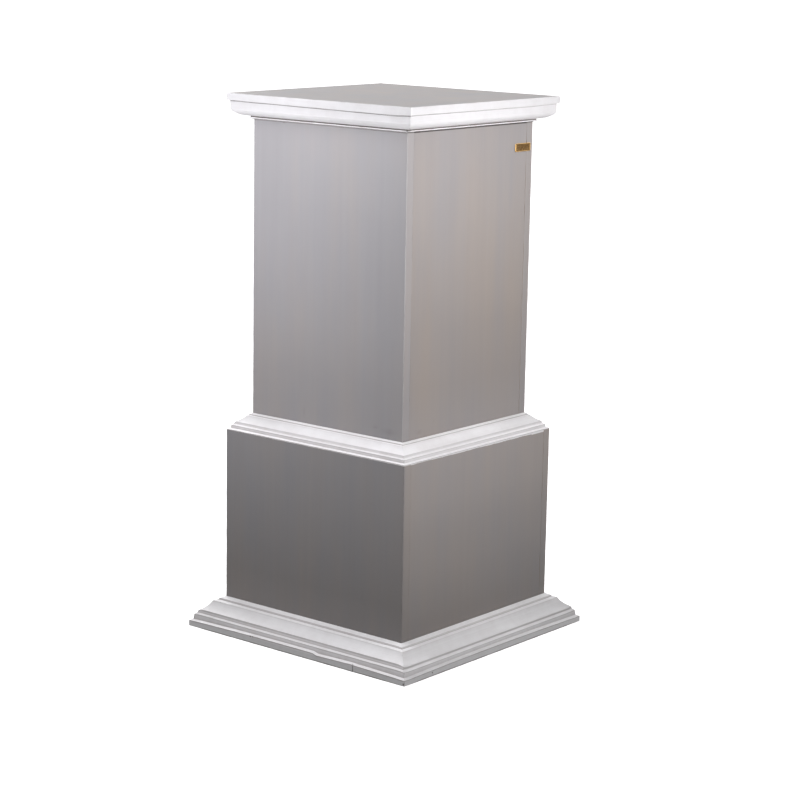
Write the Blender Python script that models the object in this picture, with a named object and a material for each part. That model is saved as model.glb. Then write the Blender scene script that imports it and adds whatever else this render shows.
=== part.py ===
"""Wooden display column: a square two-tier pedestal made of painted boards and mitred mouldings.

The lower tier is a box of four boards around an inset deck, with a broad moulding around its foot. The
upper tier, the shaft, is a narrower box of four boards that stands on the deck, with a small moulding
around its foot and another under the top board. The boxes are hollow and empty, and the foot is open.
Metres, +Z up. The origin is the middle of the foot, on the floor. The front faces -Y.
"""

import math

import bmesh
import bpy
from mathutils import Vector

# Main sizes
PLINTH_WIDTH = 0.429          # lower box, outside, across its boards
PLINTH_HEIGHT = 0.3785        # floor to the top edge of the lower box
SHAFT_WIDTH = 0.3604          # shaft, outside, across its boards
SHAFT_HEIGHT = 0.6074         # deck to the underside of the top board
TOP_THICKNESS = 0.0135
TOP_OVERHANG = 0.0047         # top board beyond the cap moulding, all round
PANEL_THICKNESS = 0.018       # boards of both boxes
DECK_THICKNESS = 0.018        # inset board that carries the shaft

# Fits and softened edges
GAP = 0.0003                  # clearance between pieces that touch
PANEL_ARRIS = 0.0010          # rounding of the boards' outer corners
TOP_ARRIS = 0.0016            # rounding of the top board's edges
PAINTED_ARRIS = 0.0006        # rounding of each moulding's edges under its paint
ARRIS_STEPS = 3               # faces in each rounding
TOP_ARRIS_STEPS = 4

# Base moulding, member by member from the box outwards and down: how far out, and how high
BASE_WASH_OUT = 0.0077        # sloping top
BASE_WASH_HIGH = 0.0018
BASE_LISTEL_OUT = 0.0030      # small step under it
BASE_LISTEL_HIGH = 0.0040
BASE_SHELF_OUT = 0.0065       # nearly flat shelf above the cove
BASE_SHELF_HIGH = 0.0025
BASE_COVE_OUT = 0.0188        # hollow sweep
BASE_COVE_HIGH = 0.0190
BASE_COVE_TURN = 39.0         # degrees that the sweep turns through
BASE_UPPER_STEP_OUT = 0.0025
BASE_UPPER_STEP_HIGH = 0.0072
BASE_UPPER_LEDGE_OUT = 0.0037
BASE_UPPER_LEDGE_HIGH = 0.0025
BASE_LOWER_STEP_OUT = 0.0012
BASE_LOWER_STEP_HIGH = 0.0081
BASE_LOWER_LEDGE_OUT = 0.0058
BASE_LOWER_LEDGE_HIGH = 0.0020
BASE_FILLET_HIGH = 0.0112     # upright foot, at the mitres
BASE_FILLET_BOW = 0.0033      # how much higher the foot is at the middle of a length
BASE_STRETCHES = 8            # straight stretches that follow the bow

# The left length of the base is worn: its foot drops at a chip and again at a split
CHIP_START = 0.048            # from the middle of the length towards the front
CHIP_LENGTH = 0.010
CHIP_DROP = 0.0028
CHIP_MEND = 0.080             # stretch over which the foot comes back to its height
SPLIT_PLACE = 0.1443          # from the middle of the length towards the front
SPLIT_WIDTH = 0.0012
SPLIT_DEPTH = 0.0040
SPLIT_DROP = 0.0012

# Band moulding around the foot of the shaft, from the shaft outwards and down
BAND_WASH_OUT = 0.0040
BAND_WASH_HIGH = 0.0010
BAND_LISTEL_OUT = 0.0031
BAND_LISTEL_HIGH = 0.0022
BAND_COVE_OUT = 0.0154
BAND_COVE_HIGH = 0.0133
BAND_COVE_TURN = 24.0
BAND_UPPER_STEP_OUT = 0.0024
BAND_UPPER_STEP_HIGH = 0.0060
BAND_UPPER_LEDGE_OUT = 0.0031
BAND_UPPER_LEDGE_HIGH = 0.0020
BAND_LOWER_STEP_OUT = 0.0008
BAND_LOWER_STEP_HIGH = 0.0045
BAND_LOWER_LEDGE_OUT = 0.0029
BAND_LOWER_LEDGE_HIGH = 0.0015
BAND_FILLET_HIGH = 0.0010

# Cap moulding under the top board, from the shaft outwards and up
CAP_SPLAY_OUT = 0.0062        # sloping underside of the small fillet
CAP_SPLAY_HIGH = 0.0022
CAP_FILLET_HIGH = 0.0016
CAP_QUIRK_IN = 0.0008         # narrow groove above the fillet
CAP_QUIRK_HIGH = 0.0017
CAP_REVEAL_OUT = 0.0046       # underside of the round
CAP_REVEAL_HIGH = 0.0008
CAP_ROUND_OUT = 0.0203        # quarter round
CAP_ROUND_HIGH = 0.0117
CAP_ROUND_FULLNESS = 1.55     # 2 is an ellipse, less is flatter
CAP_FASCIA_HIGH = 0.0152      # upright face under the board

# Curves and corners
COVE_STEPS = 8
ROUND_STEPS = 10
SMOOTH_ANGLE = 28.0           # degrees, faces that meet at less are shaded as one
NEARLY_STRAIGHT = 165.0       # degrees, a corner more open than this isn't rounded
ROUNDING_SHARE = 0.45         # most of a member that the rounding of one corner may take

# Small brass plate on the front of the shaft
PLATE_WIDTH = 0.045
PLATE_HEIGHT = 0.015
PLATE_THICKNESS = 0.0014
PLATE_CORNER = 0.0022         # radius of its corners
PLATE_CORNER_STEPS = 4
PLATE_RIM = 0.0010            # raised rim around the field
PLATE_FIELD_DEPTH = 0.0004
PLATE_FROM_EDGE = 0.0302      # middle of the plate to the shaft's right corner
PLATE_FROM_TOP = 0.0783       # middle of the plate to the underside of the top board

# Levels and half widths that the pieces share
PLINTH_HALF = PLINTH_WIDTH / 2
SHAFT_HALF = SHAFT_WIDTH / 2
SHAFT_FOOT = PLINTH_HEIGHT + GAP
SHAFT_TOP = SHAFT_FOOT + SHAFT_HEIGHT
TOP_UNDERSIDE = SHAFT_TOP + GAP
CAP_OUT = CAP_SPLAY_OUT - CAP_QUIRK_IN + CAP_REVEAL_OUT + CAP_ROUND_OUT
TOP_HALF = SHAFT_HALF + GAP + CAP_OUT + TOP_OVERHANG
MITRE_GAP = GAP / math.sqrt(2)    # taken off each end, along the length

# Turn about +Z that brings a length facing -Y to each side
SIDES = {"front": 0.0, "right": 90.0, "back": 180.0, "left": -90.0}


def clear_scene():
    """Remove the objects that the scene starts with."""
    for obj in list(bpy.data.objects):
        bpy.data.objects.remove(obj, do_unlink=True)


def paint(name, colour, roughness, metallic=0.0):
    """A plain material with one colour, roughness and metallic value."""
    material = bpy.data.materials.new(name)
    material.use_nodes = True
    shader = material.node_tree.nodes["Principled BSDF"]
    shader.inputs["Base Color"].default_value = (*colour, 1.0)
    shader.inputs["Roughness"].default_value = roughness
    shader.inputs["Metallic"].default_value = metallic
    material.diffuse_color = (*colour, 1.0)
    return material


def add_object(name, mesh, material, parent, location=(0.0, 0.0, 0.0), turn=0.0):
    """Put a mesh into the scene under its parent, with its place and its turn about +Z."""
    obj = bpy.data.objects.new(name, mesh)
    bpy.context.scene.collection.objects.link(obj)
    obj.parent = parent
    obj.location = location
    obj.rotation_euler = (0.0, 0.0, math.radians(turn))
    if material is not None and material.name not in mesh.materials:
        mesh.materials.append(material)
    return obj


def mesh_from(bm, name):
    """Turn a bmesh into a mesh with its faces out and its round stretches smooth."""
    bmesh.ops.recalc_face_normals(bm, faces=bm.faces)
    mesh = bpy.data.meshes.new(name)
    bm.to_mesh(mesh)
    bm.free()
    mesh.shade_smooth()
    mesh.set_sharp_from_angle(angle=math.radians(SMOOTH_ANGLE))
    return mesh


def board_mesh(name, size, radius=0.0, steps=ARRIS_STEPS, is_rounded=None):
    """A board centred on its own origin. is_rounded picks the edges that get the radius."""
    bm = bmesh.new()
    bmesh.ops.create_cube(bm, size=1.0)
    bmesh.ops.scale(bm, vec=Vector(size), verts=bm.verts)
    if is_rounded is not None:
        edges = [e for e in bm.edges if is_rounded(*(v.co for v in e.verts))]
        bmesh.ops.bevel(bm, geom=edges, offset=radius, segments=steps, profile=0.5,
                        affect='EDGES', clamp_overlap=True)
    return mesh_from(bm, name)


def add_box(prefix, half, foot, height, material, parent):
    """Four boards around a hollow: the side boards run through, the other two fit between them."""
    def on_outer_corner(a, b):
        upright = abs(a.z - b.z) > 0.0 and (a.xy - b.xy).length == 0.0
        return upright and a.x < 0.0

    middle = foot + height / 2
    inset = half - PANEL_THICKNESS / 2
    side = board_mesh(prefix + "_side_board", (PANEL_THICKNESS, 2 * half, height),
                      PANEL_ARRIS, is_rounded=on_outer_corner)
    across = 2 * (half - PANEL_THICKNESS - GAP)
    cross = board_mesh(prefix + "_cross_board", (across, PANEL_THICKNESS, height))
    add_object(prefix + "_left", side, material, parent, (-inset, 0.0, middle))
    add_object(prefix + "_right", side, material, parent, (inset, 0.0, middle), 180.0)
    add_object(prefix + "_front", cross, material, parent, (0.0, -inset, middle))
    add_object(prefix + "_back", cross, material, parent, (0.0, inset, middle), 180.0)


def arc(start, end, turn, steps):
    """Points after start, up to end, on an arc that turns through the given degrees.

    A positive turn bends to the left of the way from start to end.
    """
    chord = Vector(end) - Vector(start)
    sweep = math.radians(turn)
    radius = chord.length / (2 * math.sin(sweep / 2))
    across = Vector((-chord.y, chord.x)).normalized()
    centre = Vector(start) + chord / 2 + across * radius * math.cos(sweep / 2)
    first = Vector(start) - centre
    points = []
    for i in range(1, steps + 1):
        angle = sweep * i / steps
        c, s = math.cos(angle), math.sin(angle)
        points.append((centre.x + c * first.x - s * first.y, centre.y + s * first.x + c * first.y))
    return points


def soften(points, radius, steps=ARRIS_STEPS):
    """Round every corner between the first and last point of an open outline."""
    result = [points[0]]
    for before, corner, after in zip(points, points[1:], points[2:]):
        back = Vector(before) - Vector(corner)
        ahead = Vector(after) - Vector(corner)
        opening = back.angle(ahead)
        if opening > math.radians(NEARLY_STRAIGHT):
            result.append(corner)
            continue
        reach = radius / math.tan(opening / 2)
        reach = min(reach, ROUNDING_SHARE * back.length, ROUNDING_SHARE * ahead.length)
        start = Vector(corner) + back.normalized() * reach
        end = Vector(corner) + ahead.normalized() * reach
        for i in range(steps + 1):
            t = i / steps
            bent = start * (1 - t) ** 2 + Vector(corner) * 2 * t * (1 - t) + end * t ** 2
            result.append((bent.x, bent.y))
    result.append(points[-1])
    return result


def stepped_section(members, cove, foot_rise=0.0):
    """Outline (out, up) of a moulding that stands on a floor or deck, from its top to its foot.

    members are (out, high) steps from the wall outwards and down. The cove is one of them, by its
    place in the list, with the degrees that it turns through. foot_rise lifts the foot's upper edge
    and the ledge above it, and takes as much off the step above them.
    """
    place, turn = cove
    top = sum(high for _, high in members)
    points = [(0.0, top)]
    for index, (out, high) in enumerate(members):
        x, z = points[-1]
        end = (x + out, z - high)
        if index == place:
            points += arc((x, z), end, turn, COVE_STEPS)
        else:
            points.append(end)
    lifted = len(points) - 3
    points = [(x, z + foot_rise) if i in (lifted, lifted + 1) else (x, z)
              for i, (x, z) in enumerate(points)]
    outline = soften(points, PAINTED_ARRIS)
    outline.append((0.0, 0.0))
    return outline


def base_section(foot_rise=0.0):
    """Outline of the base moulding."""
    members = [
        (BASE_WASH_OUT, BASE_WASH_HIGH),
        (BASE_LISTEL_OUT, BASE_LISTEL_HIGH),
        (BASE_SHELF_OUT, BASE_SHELF_HIGH),
        (BASE_COVE_OUT, BASE_COVE_HIGH),
        (BASE_UPPER_STEP_OUT, BASE_UPPER_STEP_HIGH),
        (BASE_UPPER_LEDGE_OUT, BASE_UPPER_LEDGE_HIGH),
        (BASE_LOWER_STEP_OUT, BASE_LOWER_STEP_HIGH),
        (BASE_LOWER_LEDGE_OUT, BASE_LOWER_LEDGE_HIGH),
        (0.0, BASE_FILLET_HIGH),
    ]
    return stepped_section(members, (3, BASE_COVE_TURN), foot_rise)


def band_section():
    """Outline of the moulding around the foot of the shaft."""
    members = [
        (BAND_WASH_OUT, BAND_WASH_HIGH),
        (BAND_LISTEL_OUT, BAND_LISTEL_HIGH),
        (BAND_COVE_OUT, BAND_COVE_HIGH),
        (BAND_UPPER_STEP_OUT, BAND_UPPER_STEP_HIGH),
        (BAND_UPPER_LEDGE_OUT, BAND_UPPER_LEDGE_HIGH),
        (BAND_LOWER_STEP_OUT, BAND_LOWER_STEP_HIGH),
        (BAND_LOWER_LEDGE_OUT, BAND_LOWER_LEDGE_HIGH),
        (0.0, BAND_FILLET_HIGH),
    ]
    return stepped_section(members, (2, BAND_COVE_TURN))


def cap_section():
    """Outline (out, up) of the cap moulding, from its foot against the shaft to its top edge."""
    points = [(0.0, 0.0)]
    for out, high in [
        (CAP_SPLAY_OUT, CAP_SPLAY_HIGH),
        (0.0, CAP_FILLET_HIGH),
        (-CAP_QUIRK_IN, 0.0),
        (0.0, CAP_QUIRK_HIGH),
        (CAP_REVEAL_OUT, CAP_REVEAL_HIGH),
    ]:
        points.append((points[-1][0] + out, points[-1][1] + high))
    x, z = points[-1]
    power = 2 / CAP_ROUND_FULLNESS
    for i in range(1, ROUND_STEPS + 1):
        angle = 0.5 * math.pi * i / ROUND_STEPS
        points.append((x + CAP_ROUND_OUT * math.sin(angle) ** power,
                       z + CAP_ROUND_HIGH * (1 - max(0.0, math.cos(angle)) ** power)))
    points.append((points[-1][0], points[-1][1] + CAP_FASCIA_HIGH))
    outline = soften(points, PAINTED_ARRIS)
    outline.append((0.0, outline[-1][1]))
    return outline


def length_mesh(name, wall, places, section_at):
    """A length of moulding that faces -Y, mitred at both ends, with its back at y = -wall.

    places are the positions between the mitres where the section is set. section_at gives the
    outline at a position, with the same number of points everywhere.
    """
    rings = []
    for side, place in [(-1, -wall)] + [(0, place) for place in places] + [(1, wall)]:
        ring = []
        for out, up in section_at(place):
            x = side * (wall + out - MITRE_GAP) if side else place
            ring.append(Vector((x, -(wall + out), up)))
        rings.append(ring)
    bm = bmesh.new()
    rows = [[bm.verts.new(point) for point in ring] for ring in rings]
    count = len(rows[0])
    for row, following in zip(rows, rows[1:]):
        for i in range(count):
            j = (i + 1) % count
            bm.faces.new((row[i], row[j], following[j], following[i]))
    bm.faces.new(rows[0])
    bm.faces.new(rows[-1])
    return mesh_from(bm, name)


def foot_bow(place):
    """How much the base's foot is higher at a place along a length than at the mitres."""
    reach = PLINTH_HALF + GAP
    return BASE_FILLET_BOW * (1 - (place / reach) ** 2)


def worn_foot(place):
    """The same for the worn left length, which drops at the chip and at the split."""
    rise = foot_bow(place)
    past_chip = place - CHIP_START
    if past_chip > 0.0:
        fallen = min(1.0, past_chip / CHIP_LENGTH)
        mended = min(1.0, max(0.0, past_chip - CHIP_LENGTH) / CHIP_MEND)
        rise -= CHIP_DROP * fallen * (1 - mended)
    if place > SPLIT_PLACE:
        rise -= SPLIT_DROP
    return rise


def even_places(wall, count):
    """Places that part a length between its mitres into equal stretches."""
    return [wall * (2 * i / count - 1) for i in range(1, count)]


def add_base_lengths(material, parent):
    """The four lengths around the foot. The left one has its chip and its split."""
    wall = PLINTH_HALF + GAP
    places = even_places(wall, BASE_STRETCHES)
    plain = length_mesh("base_length", wall, places, lambda place: base_section(foot_bow(place)))
    for side in ("front", "right", "back"):
        add_object("base_moulding_" + side, plain, material, parent, turn=SIDES[side])
    wear = [CHIP_START, CHIP_START + CHIP_LENGTH, SPLIT_PLACE - SPLIT_WIDTH / 2,
            SPLIT_PLACE + SPLIT_WIDTH / 2]
    clear = [p for p in places if all(abs(p - w) > CHIP_LENGTH / 2 for w in wear)]
    worn = length_mesh("worn_base_length", wall, sorted(clear + wear),
                       lambda place: base_section(worn_foot(place)))
    left = add_object("base_moulding_left", worn, material, parent, turn=SIDES["left"])
    outer = wall + max(out for out, _ in base_section())
    high = BASE_FILLET_HIGH + BASE_FILLET_BOW + BASE_LOWER_LEDGE_HIGH
    shape = board_mesh("split_shape", (SPLIT_WIDTH, 2 * SPLIT_DEPTH, 2 * high))
    split = add_object("split_cutter", shape, None, left, (SPLIT_PLACE, -outer, 0.0))
    split.hide_render = True
    split.display_type = 'WIRE'
    cut = left.modifiers.new("split", 'BOOLEAN')
    cut.operation = 'DIFFERENCE'
    cut.solver = 'EXACT'
    cut.object = split


def add_lengths(prefix, wall, foot, section, material, parent):
    """Four equal lengths of a moulding around a box."""
    mesh = length_mesh(prefix + "_length", wall, [], lambda place: section)
    for side, turn in SIDES.items():
        add_object(prefix + "_" + side, mesh, material, parent, (0.0, 0.0, foot), turn)


def add_top(material, parent):
    """The top board with all its edges rounded."""
    mesh = board_mesh("top_board_shape", (2 * TOP_HALF, 2 * TOP_HALF, TOP_THICKNESS), TOP_ARRIS,
                      TOP_ARRIS_STEPS, lambda a, b: True)
    add_object("top_board", mesh, material, parent, (0.0, 0.0, TOP_UNDERSIDE + TOP_THICKNESS / 2))


def add_deck(material, parent):
    """The board inside the top of the lower box, flush with its boards."""
    across = 2 * (PLINTH_HALF - PANEL_THICKNESS - GAP)
    mesh = board_mesh("deck_shape", (across, across, DECK_THICKNESS))
    add_object("plinth_deck", mesh, material, parent,
               (0.0, 0.0, PLINTH_HEIGHT - DECK_THICKNESS / 2))


def add_plate(material, parent):
    """A small plate with rounded corners and a raised rim around a plain field."""
    bm = bmesh.new()
    corners = []
    for index, (sx, sz) in enumerate([(1, 1), (-1, 1), (-1, -1), (1, -1)]):
        cx = sx * (PLATE_WIDTH / 2 - PLATE_CORNER)
        cz = sz * (PLATE_HEIGHT / 2 - PLATE_CORNER)
        for i in range(PLATE_CORNER_STEPS + 1):
            angle = math.radians(90.0 * (index + i / PLATE_CORNER_STEPS))
            corners.append(bm.verts.new((cx + PLATE_CORNER * math.cos(angle), 0.0,
                                         cz + PLATE_CORNER * math.sin(angle))))
    outline = bm.faces.new(corners)
    grown = bmesh.ops.extrude_face_region(bm, geom=[outline])
    moved = [v for v in grown["geom"] if isinstance(v, bmesh.types.BMVert)]
    bmesh.ops.translate(bm, vec=(0.0, -PLATE_THICKNESS, 0.0), verts=moved)
    front = [f for f in grown["geom"] if isinstance(f, bmesh.types.BMFace)]
    bmesh.ops.inset_region(bm, faces=front, thickness=PLATE_RIM, use_even_offset=True)
    field = list({v for f in front for v in f.verts})
    bmesh.ops.translate(bm, vec=(0.0, PLATE_FIELD_DEPTH, 0.0), verts=field)
    mesh = mesh_from(bm, "name_plate_shape")
    place = (SHAFT_HALF - PLATE_FROM_EDGE, -(SHAFT_HALF + GAP), TOP_UNDERSIDE - PLATE_FROM_TOP)
    add_object("name_plate", mesh, material, parent, place)


def build():
    """Build the column."""
    clear_scene()
    grey = paint("grey_paint", (0.36, 0.35, 0.36), 0.45)
    white = paint("white_paint", (0.80, 0.78, 0.79), 0.50)
    bare = paint("bare_wood", (0.45, 0.33, 0.21), 0.75)
    brass = paint("brass_plate", (0.46, 0.29, 0.09), 0.38, 1.0)
    column = bpy.data.objects.new("display_column", None)
    bpy.context.scene.collection.objects.link(column)

    add_box("plinth_panel", PLINTH_HALF, 0.0, PLINTH_HEIGHT, grey, column)
    add_deck(bare, column)
    add_base_lengths(white, column)
    add_box("shaft_panel", SHAFT_HALF, SHAFT_FOOT, SHAFT_HEIGHT, grey, column)
    add_lengths("band_moulding", SHAFT_HALF + GAP, SHAFT_FOOT, band_section(), white, column)
    cap = cap_section()
    cap_foot = TOP_UNDERSIDE - GAP - cap[-1][1]
    add_lengths("cap_moulding", SHAFT_HALF + GAP, cap_foot, cap, white, column)
    add_top(grey, column)
    add_plate(brass, column)


build()
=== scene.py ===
# %% [markdown]
# # Dressing a painted display column
#
# The imported model is the joinery of a two-tier column: boards, mitred mouldings, a top board and a small
# plate, each at its true place and size. This lesson gives every piece the surface of the real one: edges
# rounded by hand, brush marks, dirt and painted shade in the hollows, painted light and shade on the faces
# and ledges, wear on the corners, a chip and a split. Each new piece sits where the imported one is, and
# rides on its body.

# %% Load the frame
import math
from collections import namedtuple

import bpy
import numpy as np
from mathutils import Matrix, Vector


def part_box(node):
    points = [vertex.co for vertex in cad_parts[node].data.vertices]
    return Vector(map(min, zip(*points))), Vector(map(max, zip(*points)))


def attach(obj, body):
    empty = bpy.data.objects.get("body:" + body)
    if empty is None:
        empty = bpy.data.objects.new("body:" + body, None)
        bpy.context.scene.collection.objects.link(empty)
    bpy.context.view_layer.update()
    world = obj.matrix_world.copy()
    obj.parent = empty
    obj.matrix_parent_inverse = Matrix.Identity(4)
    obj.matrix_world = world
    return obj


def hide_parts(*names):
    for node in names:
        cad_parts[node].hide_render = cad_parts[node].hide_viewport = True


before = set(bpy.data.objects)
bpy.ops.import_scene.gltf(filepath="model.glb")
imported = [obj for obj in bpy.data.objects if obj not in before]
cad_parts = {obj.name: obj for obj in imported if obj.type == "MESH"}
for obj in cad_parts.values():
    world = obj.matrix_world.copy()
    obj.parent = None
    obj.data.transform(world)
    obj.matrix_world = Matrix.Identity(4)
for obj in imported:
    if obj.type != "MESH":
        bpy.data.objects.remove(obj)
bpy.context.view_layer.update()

# %% [markdown]
# ## Sizes
#
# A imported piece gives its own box, so the widths and levels come from there. Only the members of the
# mouldings are written down, because a box doesn't tell a cove from a step.

# %% Sizes read from the frame
MM = 0.001
SIDES = {"front": 0.0, "right": 90.0, "back": 180.0, "left": -90.0}


def corners(node):
    """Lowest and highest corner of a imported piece, as two arrays in metres."""
    low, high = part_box(node)
    return np.array(low), np.array(high)


box_low, box_high = corners("plinth_panel_left")
shaft_low, shaft_high = corners("shaft_panel_left")
_, base_high = corners("base_moulding_left")
band_low, band_high = corners("band_moulding_left")
cap_low, cap_high = corners("cap_moulding_left")
top_low, top_high = corners("top_board")
BOX_HALF, BOX_TOP, BOARD = -box_low[0], box_high[2], box_high[0] - box_low[0]
SHAFT_HALF, SHAFT_FOOT, SHAFT_TOP = -shaft_low[0], shaft_low[2], shaft_high[2]
BASE_WALL, BASE_TOP = -base_high[0], base_high[2]
BAND_WALL, BAND_FOOT, BAND_TOP = -band_high[0], band_low[2], band_high[2]
CAP_WALL, CAP_FOOT = -cap_high[0], cap_low[2]
TOP_HALF, TOP_FOOT, TOP_FACE = -top_low[0], top_low[2], top_high[2]
print("widths of box, shaft and top:", [round(2 * half, 4) for half in (BOX_HALF, SHAFT_HALF, TOP_HALF)])

# %% [markdown]
# ## Camera
#
# The column was photographed from a little above its top, with a long lens. The place, the turn and the
# lens were worked out from the corners of the real one. The camera comes first, so that every later step
# can be looked at through it.

# %% Camera
SENSOR, LENS = 36.0, 102.61  # mm: across the square picture, and the focal length
CAMERA_PLACE = (-3.2005, -2.6642, 1.2944)
CAMERA_YAW, CAMERA_PITCH, CAMERA_ROLL = -50.492, 11.676, 1.011


def camera_axes(yaw, pitch, roll):
    """Right, up and back directions of a camera: yaw turns it about the upright axis from facing +Y,
    pitch tips it down, and roll turns it about its own line of sight."""
    y, p, r = (math.radians(angle) for angle in (yaw, pitch, roll))
    ahead = np.array([-math.sin(y) * math.cos(p), math.cos(y) * math.cos(p), -math.sin(p)])
    level = np.array([math.cos(y), math.sin(y), 0.0])
    above = np.cross(level, ahead)
    right = math.cos(r) * level + math.sin(r) * above
    up = -math.sin(r) * level + math.cos(r) * above
    return right, up, -ahead


def added(name, data):
    """A new object in the scene, from a mesh, a lens or a lamp."""
    obj = bpy.data.objects.new(name, data)
    bpy.context.scene.collection.objects.link(obj)
    return obj


def set_at(obj, place, axes):
    """Put an object at a place, with its own three axes along the given directions."""
    placing = Matrix.Translation(place)
    for column, axis in enumerate(axes):
        for row in range(3):
            placing[row][column] = axis[row]
    obj.matrix_world = placing


lens = bpy.data.cameras.new("camera")
lens.sensor_width = SENSOR
lens.lens = LENS
camera = added("camera", lens)
set_at(camera, CAMERA_PLACE, camera_axes(CAMERA_YAW, CAMERA_PITCH, CAMERA_ROLL))
bpy.context.scene.camera = camera
print("camera at", CAMERA_PLACE, "with a", LENS, "mm lens")

# %% [markdown]
# ## Curves
#
# A few curves shape both the wood and its paint: a bell around a mark, a smooth rise, the rounding of an
# edge, and a line that wanders as a hand does.

# %% Curves
def bell(away, reach):
    """1 at no distance and about a third at the reach: exp(-(distance / reach)^2)."""
    return np.exp(-(away / reach) ** 2)


def smooth_step(values, low, high):
    """0 at or below low, 1 at or above high, and 3t^2 - 2t^3 between them."""
    t = np.clip((values - low) / (high - low), 0.0, 1.0)
    return t * t * (3 - 2 * t)


def eased(away, radius):
    """How far a round edge lies behind a square one at a distance d: r - r sqrt(1 - (1 - d/r)^2)."""
    return radius * (1 - np.sqrt(1 - np.clip(1 - away / radius, 0.0, 1.0) ** 2))


def wander(places, seed, longest):
    """A line that wanders between about -1 and 1: six sine waves, each 1.7 times shorter and 1.5 times
    lower than the one before, whose phases come from the seed."""
    steps = np.arange(6)
    phases = np.random.default_rng(seed).uniform(0.0, 2 * math.pi, len(steps))
    waves = np.sin(2 * math.pi * np.asarray(places)[..., None] * 1.7 ** steps / longest + phases)
    return (waves / 1.5 ** steps).sum(axis=-1) / 1.9


# %% [markdown]
# ## Outlines
#
# A moulding is one outline carried along the wall. On the bench it's a knife or a router bit with that
# outline. Here it's a row of complex numbers, out from the wall plus i times up, because a turn of an
# arc is then one multiplication. Each outline starts at the wall and runs outwards and down to its foot.

# %% Outline tools
RIGHT_ANGLE = math.pi / 2
NEARLY_STRAIGHT = math.radians(166.0)
ROUND_STEPS, COVE_STEPS = 5, 16  # points on a rounded corner and on a cove


def stepped(top, members):
    """Corners of a stepped outline: the running sum of (out, down) members in mm, from (0, top)."""
    steps = np.array([out - 1j * down for out, down in members])
    return np.concatenate([[1j * top], 1j * top + np.cumsum(steps)])


def arc(start, end, turn):
    """Points after start up to end on an arc that turns left by the given degrees. Its centre is the
    chord's middle plus i times half the chord over tan(turn / 2), and the points turn about it."""
    half = math.radians(turn) / 2
    centre = (start + end) / 2 + 1j * (end - start) / 2 / math.tan(half)
    share = np.arange(1, COVE_STEPS + 1) / COVE_STEPS
    return centre + (start - centre) * np.exp(2j * half * share)


def softened(outline, radius):
    """The outline with its inner corners rounded: on a corner c with points a and b at the tangent
    length before and after it, the points a(1-t)^2 + 2ct(1-t) + bt^2. Nearly straight ones stay."""
    before, corner, after = outline[:-2], outline[1:-1], outline[2:]
    back, ahead = before - corner, after - corner
    opening = np.abs(np.angle(back / ahead))
    reach = radius / np.tan(opening / 2)
    reach = np.minimum(reach, 0.45 * np.minimum(np.abs(back), np.abs(ahead)))
    t = np.linspace(0.0, 1.0, ROUND_STEPS + 1)
    start = corner + back / np.abs(back) * reach
    end = corner + ahead / np.abs(ahead) * reach
    rounded = start[:, None] * (1 - t) ** 2 + 2 * corner[:, None] * t * (1 - t) + end[:, None] * t ** 2
    kept = [corner[i:i + 1] if opening[i] > NEARLY_STRAIGHT else rounded[i] for i in range(len(corner))]
    return np.concatenate([outline[:1], *kept, outline[-1:]])


def lengths_along(outline):
    """Distance of each point from the first one, measured along the outline."""
    return np.concatenate([[0.0], np.cumsum(np.abs(np.diff(outline)))])


def refined(outline, spacing, *others):
    """The outline with points added so that none are further apart than the spacing, and any other rows
    of numbers that go with its points read off at the same distances."""
    along = lengths_along(outline)
    even = np.arange(spacing / 2, along[-1], spacing)
    near = np.abs(even[:, None] - along[None, :]).min(axis=1)
    places = np.sort(np.concatenate([along, even[near > 0.35 * spacing]]))
    read = [np.interp(places, along, row.real) + 1j * np.interp(places, along, row.imag)
            for row in (outline, *others)]
    return read if others else read[0]


def turns(outline):
    """How far the outline turns at each point, in radians: more than 0 at an arris, less in a hollow."""
    step = np.diff(outline)
    return np.concatenate([[0.0], -np.angle(step[1:] / step[:-1]), [0.0]])


def bends(outline, reach):
    """How sharply the outline bends around each point, as a share of a right angle: the sum of the turns
    at all points, each weighed by a bell curve of its distance."""
    along = lengths_along(outline)
    return bell(along[:, None] - along[None, :], reach) @ turns(outline) / RIGHT_ANGLE


def directions(outline):
    """The way the outline runs at each point, as a number of size 1. Times -i it points inwards."""
    tangent = np.gradient(outline)
    return tangent / np.abs(tangent)


# %% [markdown]
# The three mouldings follow, member by member, as they were measured on the real one. The base and the
# band are of one family: a sloping top, a quirk, a narrow ledge, a cove, then steps. They were planed by
# hand, and the front lengths came out a little different from the others, so the steps have two sets of
# heights. The foot of the base is higher in the middle of each length, so a second outline says which
# points that lifts, and by how much.

# %% The base and band outlines
ARRIS = 0.55  # mm, rounding under the paint
TOP_MEMBERS = {"base": [(8.5, 3.4), (1.4, 3.2), (7.3, 1.4)], "band": [(4.2, 2.2), (0.5, 1.7), (2.4, 0.6)]}
STEP_HEIGHTS = {  # of the cove, the step, its ledge, the lower step, its ledge and the foot, in mm
    "base": {"left": (16.7, 6.7, 2.3, 9.5, 2.0, 12.2), "front": (20.0, 4.3, 2.4, 8.6, 2.0, 11.4)},
    "band": {"left": (11.7, 4.6, 1.8, 5.8, 1.6, 1.4), "front": (11.4, 4.6, 1.8, 5.7, 1.6, 1.4)},
}
STEP_WIDTHS = {"base": (18.8, 2.5, 3.7, 1.2, 5.8, 0.0), "band": (15.4, 2.4, 3.1, 0.8, 5.2, 0.0)}
COVE_TURN = {"base": 39.0, "band": 24.0}  # degrees
COVE = 3  # the number of the cove among the members


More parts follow.
